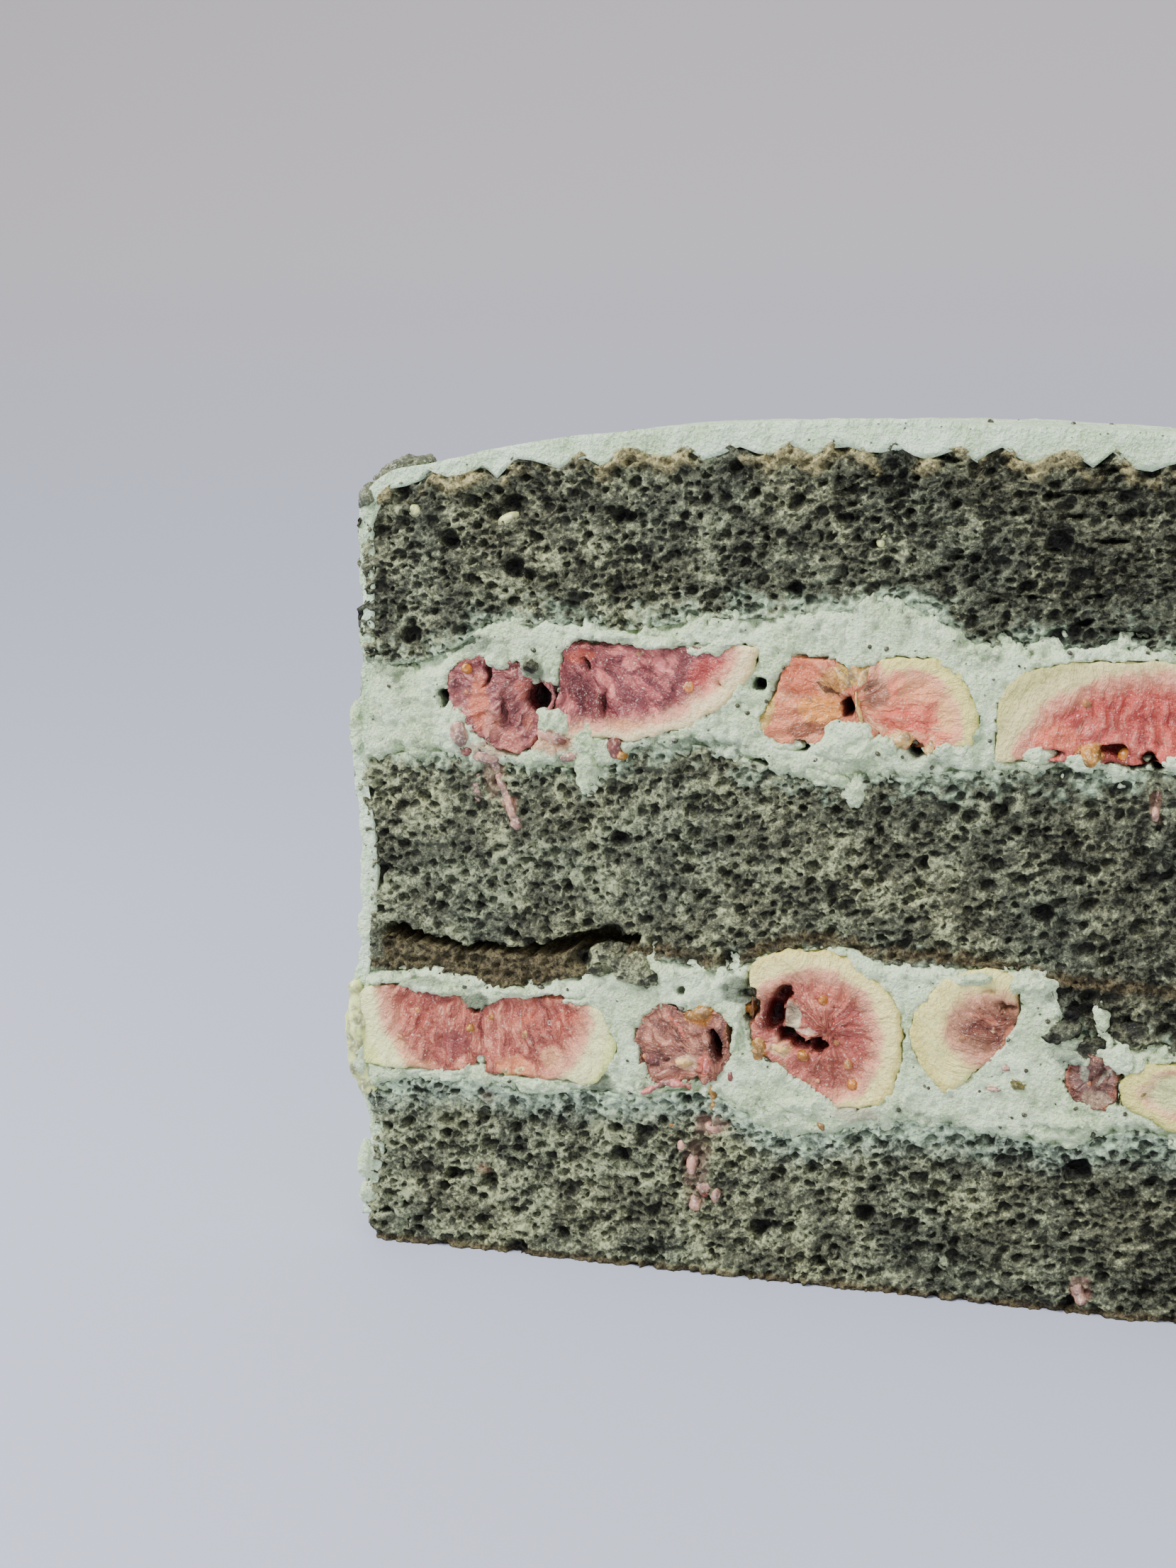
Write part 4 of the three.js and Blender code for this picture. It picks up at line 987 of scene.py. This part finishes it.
# small lumps on the front cut as [x, z, half width, half height, turn in degrees, how far out]
scraps = {
    "creamLumps": {
        "slot": "cream", "voxel": 0.22, "finish": "cream", "lumps": [
            [-36, 62.3, 2.0, 1.3, 20, 0.7], [-32.5, 60.6, 1.6, 1.7, 0, 0.8],
            [-32.4, 57.2, 1.3, 2.3, 0, 0.5], [-37.4, 59.2, 1.3, 1, 0, 0.5], [-24.5, 71.7, 3, 0.6, 0, 0.6],
            [-18.4, 71.2, 2.6, 0.6, -6, 0.6], [-29, 72.2, 2.2, 0.6, 0, 0.5],
            [-38.4, 68.6, 1.6, 1.4, 0, 0.6], [-42.6, 69.6, 1.4, 1.2, 0, 0.4],
            [-3.2, 62.4, 2.3, 1.6, 0, 0.9], [-3.4, 60.8, 3.4, 1.4, 0, 0.8], [-9.6, 60.9, 1.3, 0.6, 0, 0.6],
            [0.6, 61.5, 1.2, 0.8, 20, 0.8], [7.6, 61.1, 2.4, 0.7, 0, 0.6], [1.8, 61.6, 0.7, 0.9, 0, 0.8],
            [-5.6, 57.8, 2.4, 1.1, 10, 0.4], [-2.6, 56.2, 1.2, 1.6, 0, 0.4], [16.8, 61, 1.5, 0.7, 0, 0.7],
            [21.4, 60.4, 1.8, 0.9, 0, 0.7], [24.6, 59.6, 1.4, 0.8, 0, 0.5], [31.6, 60.8, 1.8, 0.8, 0, 0.6],
            [37, 60.6, 2.4, 0.8, 0, 0.6], [-15.1, 29.6, 0.45, 3.2, 3, 0.9], [24.2, 33, 0.7, 1.8, -14, 0.7],
            [26.6, 28.8, 1.1, 0.8, 20, 0.6], [25, 30.4, 0.6, 1.1, 10, 0.6], [10.6, 36.6, 2.2, 0.7, -8, 0.7],
            [16.6, 36.2, 2.6, 0.9, -6, 0.6], [-7.6, 20.9, 3, 0.9, 0, 0.6], [-44.9, 21.2, 1.2, 0.9, 0, 0.6],
            [-50, 20.9, 3, 0.7, 0, 0.5], [-38, 20.6, 3.2, 0.8, 0, 0.5], [-51, 31.2, 3.4, 0.7, 4, 0.6],
            [-40, 31.3, 3, 0.6, -4, 0.6], [-33, 31, 2.2, 0.6, -8, 0.5], [20.4, 21.6, 3.2, 0.8, 0, 0.4],
            [-59.6, 9.6, 1.0, 2.0, 0, 0.6], [-59.6, 5.6, 0.8, 1.2, 0, 0.4],
            [-59.0, 37.8, 1.1, 1.9, 10, 0.5], [-60.2, 23, 1, 2.4, 0, 0.4], [-59.9, 60.6, 0.7, 3, 0, 0.3],
            [21.2, 28.8, 1.8, 0.7, 10, 0.5], [-45.1, 23.2, 0.7, 0.9, 0, 0.6]]},
    "pinkPulp": {
        "slot": "fig", "voxel": 0.16, "finish": (204, 182, 172), "torn": 0.35, "lumps": [
            [-43.4, 57.2, 0.6, 1.7, -22, 0.3], [-42.4, 54.8, 0.45, 2, -20, 0.35],
            [-41.4, 52.4, 0.5, 1.9, -20, 0.35], [-40.8, 50.9, 0.6, 0.8, 0, 0.4],
            [-45.5, 55, 0.5, 1.8, 0, 0.15], [-44.2, 58.4, 1.6, 0.7, 0, 0.4], [-36.3, 61, 1.6, 0.8, 10, 0.4],
            [-34.4, 58.7, 1.2, 0.5, -10, 0.35], [-47.3, 60.9, 0.9, 1.4, -12, 0.8],
            [-17.9, 17.2, 1.1, 0.6, 10, 0.4], [-21.4, 14.8, 0.5, 0.6, 0, 0.4],
            [-20.3, 12.4, 0.6, 1.7, 10, 0.4], [-18.8, 10.2, 0.9, 0.9, 30, 0.5],
            [-19.8, 8.2, 0.7, 0.9, 0, 0.5], [-17.4, 9.4, 0.5, 0.8, 0, 0.5], [22.5, 2.8, 0.7, 1.1, -15, 0.5],
            [23.2, 1.6, 0.6, 0.6, 0, 0.5], [28.9, 55.2, 0.4, 0.7, 0, 0.5], [29, 57.4, 0.25, 1.5, 4, 0.3],
            [14.4, 27, 0.6, 0.45, 0, 0.4], [13.2, 24.5, 0.8, 0.3, 0, 0.4]]},
    "rosePulp": {
        "slot": "fig", "voxel": 0.16, "finish": (212, 166, 160), "torn": 0.35, "lumps": [
            [-24.6, 21.5, 1.8, 0.35, -28, 0.4], [-22.2, 22.2, 1.7, 0.4, -4, 0.4],
            [-20.8, 21.8, 0.7, 0.3, 25, 0.4], [-18.5, 24.6, 0.5, 1.1, 6, 0.5]]},
    "redPulp": {
        "slot": "fig", "voxel": 0.16, "finish": (168, 120, 112), "torn": 0.6, "lumps": [
            [-29.1, 60, 0.9, 1.1, 0, 0.6], [-46.5, 58.9, 0.7, 0.5, 0, 0.5], [-35.2, 60.4, 0.5, 0.4, 0, 0.4],
            [-24.8, 24.9, 1.2, 0.8, 0, 0.4], [-18.6, 9.4, 0.4, 0.3, 0, 0.8],
            [-15.8, 23.6, 0.4, 0.8, 0, 0.4]]},
    "goldPulp": {
        "slot": "fig", "voxel": 0.16, "finish": (198, 164, 116), "torn": 0.7, "lumps": [
            [-19.6, 30.5, 1.5, 0.7, -10, 0.5], [-12.7, 26.9, 0.8, 1.1, 0, 0.5],
            [-17.8, 21.6, 0.3, 2, 2, 0.6], [-28.3, 59.2, 0.6, 0.5, 0, 0.5], [22.1, 61, 1, 1, 0, 0.8],
            [-13.9, 30.9, 0.4, 0.8, 0, 0.5], [-46.3, 26.8, 0.4, 0.35, 0, 0.4],
            [-43.6, 28.3, 0.35, 0.3, 0, 0.4], [-5.2, 18.7, 0.6, 0.5, 0, 0.3]]},
    "paleFlesh": {
        "slot": "fig", "voxel": 0.14, "finish": (214, 196, 166), "torn": 0.5, "lumps": [
            [-2.2, 65.3, 0.25, 1.8, -14, 0.7], [-4, 68.6, 0.5, 1.4, -40, 0.4], [-2.8, 69, 0.6, 1.2, 0, 0.4],
            [-1.7, 68.7, 0.4, 1.2, 25, 0.4], [5.4, 61.3, 0.45, 0.8, 0, 0.5],
            [-10.2, 27.2, 1.3, 0.5, 10, 0.5], [-20.9, 24.8, 1, 0.6, 0, 0.4],
            [-41.9, 21.9, 0.4, 0.5, 0, 0.4], [-40.4, 22.3, 0.35, 0.3, 0, 0.4],
            [2.5, 62, 1.1, 0.7, -10, 0.5]]},
    "rindScraps": {
        "slot": "fig", "voxel": 0.25, "finish": (218, 221, 190), "torn": 0.3, "lumps": [
            [-60.3, 25.5, 1, 5, 3, 0.5], [-59.5, 19.8, 1.2, 2.6, -8, 0.7], [-60.4, 30.4, 0.7, 0.9, 0, 0.5],
            [-52.4, 85.6, 0.7, 0.7, 0, 0.3], [-0.2, 83, 0.5, 0.8, 20, 0.3],
            [-41.6, 84.8, 1.2, 0.6, -24, 0.3]]},
    "crumbLumps": {
        "slot": "sponge", "voxel": 0.3, "finish": "crumb", "lumps": [
            [-29.6, 36.1, 2.2, 1.4, 10, 1.4], [-27.2, 35, 1.9, 1.5, -20, 1.2],
            [-31, 35.1, 1.2, 1.1, 0, 1.2], [-25.6, 34.2, 1.2, 1, 0, 0.9], [20.2, 31.4, 2.0, 1.1, -20, 0.7],
            [23, 29.8, 1.8, 1.0, -30, 0.7], [27.4, 31.4, 1.6, 1.4, 0, 0.6], [-38.6, 68.8, 0.9, 0.8, 0, 0.9],
            [-13.6, 33.4, 1.1, 0.8, 20, 0.6]]},
    "oliveScrap": {
        "slot": "fig", "voxel": 0.16, "finish": (150, 142, 92), "lumps": [
            [15.9, 25.3, 0.9, 0.5, -14, 0.5], [28.9, 25.2, 0.35, 0.3, 0, 0.4],
            [26.6, 24.4, 0.2, 0.2, 0, 0.3]]},
}


# a ray from outside the cut, and where the surface is taken to lie if it hits nothing
ray = {"from": 9, "length": 14, "missed": 0.5}


def surfaceAt(x, z, side=-1):  # the y of the finished surface
    graphNow = bpy.context.evaluated_depsgraph_get()
    start, way = Vector((x, side * (cut + ray["from"]), z)) * mm, Vector((0, -side, 0))
    hit, place, *_ = bpy.context.scene.ray_cast(graphNow, start, way, distance=ray["length"] * mm)
    return place.y / mm if hit else side * (cut - ray["missed"])


def lump(x, y, z, wide, deep, high, turn, segments=20):  # an egg shape, turned in degrees
    bpy.ops.object.select_all(action="DESELECT")
    bpy.ops.mesh.primitive_uv_sphere_add(segments=segments, ring_count=segments // 2, radius=1,
                                         location=(x * mm, y * mm, z * mm))
    piece = bpy.context.object
    piece.scale = (wide * mm, deep * mm, high * mm)
    piece.rotation_euler = (0, math.radians(turn), 0)
    return piece


def together(name, pieces):  # one piece of many
    only(*pieces)
    bpy.ops.object.transform_apply(location=True, rotation=True, scale=True)
    bpy.ops.object.join()
    piece = bpy.context.object
    piece.name = name
    return piece


def torn(graph, spot, share):  # ragged, with the values that the cream and crumb finishes read
    none = spot.split()[0] * 0
    stored = {"air": none, "past": none - 6, "smear": none, "brown": none, "damp": none + 9, "burnt": none}
    return graph.swirl(graph.swirl(spot, 1.8, 0.8 * share), 0.6, 0.34 * share), stored


def wetFinish(name, shade):  # a shiny finish for pulp, seeds and crumbs
    material, graph, shader, place = newFinish(name)
    fine = graph.noise(place, 0.4, 3.0, 0.6)
    broad = graph.noise(place, 1.4, 3.0)
    darker = [part * 0.8 for part in shade]
    lighter = [part + (236 - part) * 0.5 for part in shade]
    base = graph.mix(broad.step(0.35, 0.65), colour(*darker), colour(*shade))
    base = graph.mix(fine.step(0.5, 0.7) * 0.7, base, colour(*lighter))
    wired(graph, shader, base, fine, [0.6, 0.25], 0.2, [0.2, 0.6, 0.3, 0.25])
    return material


finishes = {"cream": creamMaterial, "crumb": spongeMaterial}
for name, scrap in scraps.items():
    pieces = []
    for x, z, wide, high, turn, out in scrap["lumps"]:
        y = min(surfaceAt(x + aside, z + up) for aside, up in ((0, 0), (wide / 2, 0), (-wide / 2, 0)))
        deep = out + 0.5
        pieces.append(lump(x, y + deep - out * 0.75, z, wide * 1.2, deep, high * 1.2, turn))
    piece = together(name, pieces)
    remeshed(piece, scrap["voxel"])
    shaped(piece, lambda graph, spot: torn(graph, spot, scrap.get("torn", 1)))
    smoothed(piece)
    finish = scrap["finish"]
    placed(piece, finishes[finish] if finish in finishes else wetFinish(name, finish), scrap["slot"])
print("scraps made")

# the crumb that stands behind the top left corner, as [x, y, z, wide, deep, high, turn]
cornerCrumb = {
    "voxel": 0.25, "segments": 32, "colour": (150, 154, 132),
    "lumps": [[-54.2, -21, 90.3, 2.3, 2.2, 1.3, -14], [-51.9, -20.8, 91, 1.2, 1.8, 0.9, 0],
              [-56.4, -21.4, 89.2, 1.3, 1.8, 1, -30], [-58, -22.8, 87, 1.1, 1.4, 1.6, 14]],
}
piece = together("cornerCrumb", [lump(*spot, cornerCrumb["segments"]) for spot in cornerCrumb["lumps"]])
remeshed(piece, cornerCrumb["voxel"])
shaped(piece, lambda graph, spot: torn(graph, spot, 1))
placed(piece, wetFinish("cornerCrumb", cornerCrumb["colour"]), "sponge")

# seeds as [x, z, radius] on the front cut, and some more in the flesh of every fig
seeds = {
    "paleSeeds": {"colour": (222, 180, 142), "seeds": [
        [-20.8, 66.9, 0.7], [-52.7, 28.3, 0.45], [-39.6, 26.5, 0.55], [21.5, 66.6, 0.62], [-4, 28.5, 0.6],
        [-2.6, 26, 0.6], [31, 66, 0.5], [35.6, 63.6, 0.5]]},
    "orangeSeeds": {"colour": (208, 156, 98), "seeds": [
        [-46.3, 68.2, 0.7], [-5.5, 33.1, 0.65], [-7.6, 26.6, 0.75], [-2, 23.7, 0.85], [25.6, 61.1, 0.95],
        [-14.1, 31.1, 0.6], [-22.5, 17.2, 0.35]]},
    "scattered": {"colour": (206, 168, 142), "front": 1, "back": 6, "radius": [0.3, 0.5], "far": [0.2, 0.75]},
}
random.seed(7)


def seedSpots(node, fig, count):  # random places in the flesh, away from the rind
    spots = []
    while len(spots) < count:
        x, z, wide, high = random.choice(fig["lobes"])
        turn, far = random.uniform(0, 2 * math.pi), random.uniform(*seeds["scattered"]["far"])
        spotX = x + math.cos(turn) * far * (wide - fig["rind"])
        spotZ = z + math.sin(turn) * far * (high - fig["rind"])
        for trimX, trimZ, way in fig.get("trims", []):
            way = math.radians(way)
            past = (spotX - trimX) * math.cos(way) + (spotZ - trimZ) * math.sin(way) + 1
            if past > 0:
                spotX -= past * math.cos(way)
                spotZ -= past * math.sin(way)
        spots.append([spotX, spotZ, random.uniform(*seeds["scattered"]["radius"])])
    return spots


for name, kind in seeds.items():
    pieces = []
    places = [[x, z, radius, -1] for x, z, radius in kind.get("seeds", [])]
    if "front" in kind:
        for node, fig in figs.items():
            side = -1 if "front" in node else 1
            places += [spot + [side] for spot in seedSpots(node, fig, kind["front" if side < 0 else "back"])]
    for x, z, radius, side in places:
        y = surfaceAt(x, z, side) - side * radius * 0.35
        pieces.append(lump(x, y, z, radius * 0.85, radius * 0.8, radius, random.uniform(-60, 60), 14))
    piece = together(name, pieces)
    bpy.ops.object.shade_smooth()
    placed(piece, wetFinish(name, kind["colour"]), "fig")
print("seeds made")

# crumbs of sponge on the cream, each dropped on a filling's cut or on the top
looseCrumb = {"count": 120, "size": [0.12, 0.34], "long": [0.7, 1.5], "above": 110, "colour": (104, 104, 84),
              "fillings": [[58, 72], [20, 34]]}
pieces = []
graphNow = bpy.context.evaluated_depsgraph_get()
while len(pieces) < looseCrumb["count"]:
    x = random.uniform(-58, 58)
    z = random.choice([random.uniform(*span) for span in looseCrumb["fillings"]] + [looseCrumb["above"]])
    size = random.uniform(*looseCrumb["size"])
    start, way = Vector((x, -40, z)), Vector((0, 1, 0))
    if z == looseCrumb["above"]:
        start, way = Vector((x, random.uniform(-23, 23), z)), Vector((0, 0, -1))
    hit, place, _, _, target, _ = bpy.context.scene.ray_cast(graphNow, start * mm, way)
    if hit and (target.name == "creamCoat" or target.name.startswith("filling")):
        wide = size * random.uniform(*looseCrumb["long"])
        pieces.append(lump(*(place / mm), wide, size, size, random.uniform(-60, 60), 8))
piece = together("looseCrumbs", pieces)
placed(piece, wetFinish("looseCrumbs", looseCrumb["colour"]), "sponge")
print("crumbs made")


# the camera stands where the photograph was taken from
view = {"at": (35.98, -258.46, 95.4), "turn": 16.2, "down": 9.214, "lens": 51.27, "sensor": 36,
        "clip": [0.01, 20]}
camera = bpy.data.cameras.new("camera")
camera.lens, camera.sensor_width = view["lens"], view["sensor"]
camera.clip_start, camera.clip_end = view["clip"]
cameraObject = bpy.data.objects.new("camera", camera)
cameraObject.location = Vector(view["at"]) * mm
cameraObject.rotation_euler = (math.radians(90 - view["down"]), 0, math.radians(view["turn"]))
bpy.context.scene.collection.objects.link(cameraObject)
bpy.context.scene.camera = cameraObject

studio = {"floor": (197, 199, 206), "wall": (205, 203, 205), "size": 4, "bendFrom": 300, "bend": 1500,
          "rough": 0.6, "sky": 0.66}
bpy.ops.object.select_all(action="DESELECT")
bpy.ops.mesh.primitive_grid_add(x_subdivisions=2, y_subdivisions=120, size=studio["size"])
floor = bpy.context.object
floor.name = "floor"


def swept(graph, spot):  # the floor turns up into a wall behind
    x, y, z = spot.split()
    turn = (y - studio["bendFrom"]).high(0) / studio["bend"]
    newY = y.low(studio["bendFrom"]) + turn.math("SINE") * studio["bend"]
    return graph.vector(x, newY, (1 - turn.math("COSINE")) * studio["bend"]), {}


shaped(floor, swept)
bpy.ops.object.shade_smooth()
floorMaterial, graph, shader, place = newFinish("pale floor")
height = place.split()[2].step(2, 260)
base = graph.mix(height, colour(*studio["floor"]), colour(*studio["wall"]))
floorMaterial.node_tree.links.new(base.socket, shader.inputs["Base Color"])
shader.inputs["Roughness"].default_value = studio["rough"]
floor.data.materials.append(floorMaterial)

world = bpy.data.worlds.new("studio")
bpy.context.scene.world = world
world.use_nodes = True
background = world.node_tree.nodes["Background"]
background.inputs["Color"].default_value = (studio["sky"], studio["sky"], studio["sky"], 1)
background.inputs["Strength"].default_value = gain

# soft lamps as [place, width, power]
lamps = {"window": [(-0.55, -0.45, 0.75), 0.45, 12.5], "fill": [(0.7, -0.7, 0.4), 0.7, 2.5]}
for name, (at, wide, power) in lamps.items():
    data = bpy.data.lights.new(name, "AREA")
    data.shape, data.size, data.energy = "DISK", wide, power * gain
    lamp = bpy.data.objects.new(name, data)
    lamp.location = at
    lamp.rotation_euler = (Vector((0, 0, 0.05)) - Vector(at)).to_track_quat("-Z", "Y").to_euler()
    bpy.context.scene.collection.objects.link(lamp)
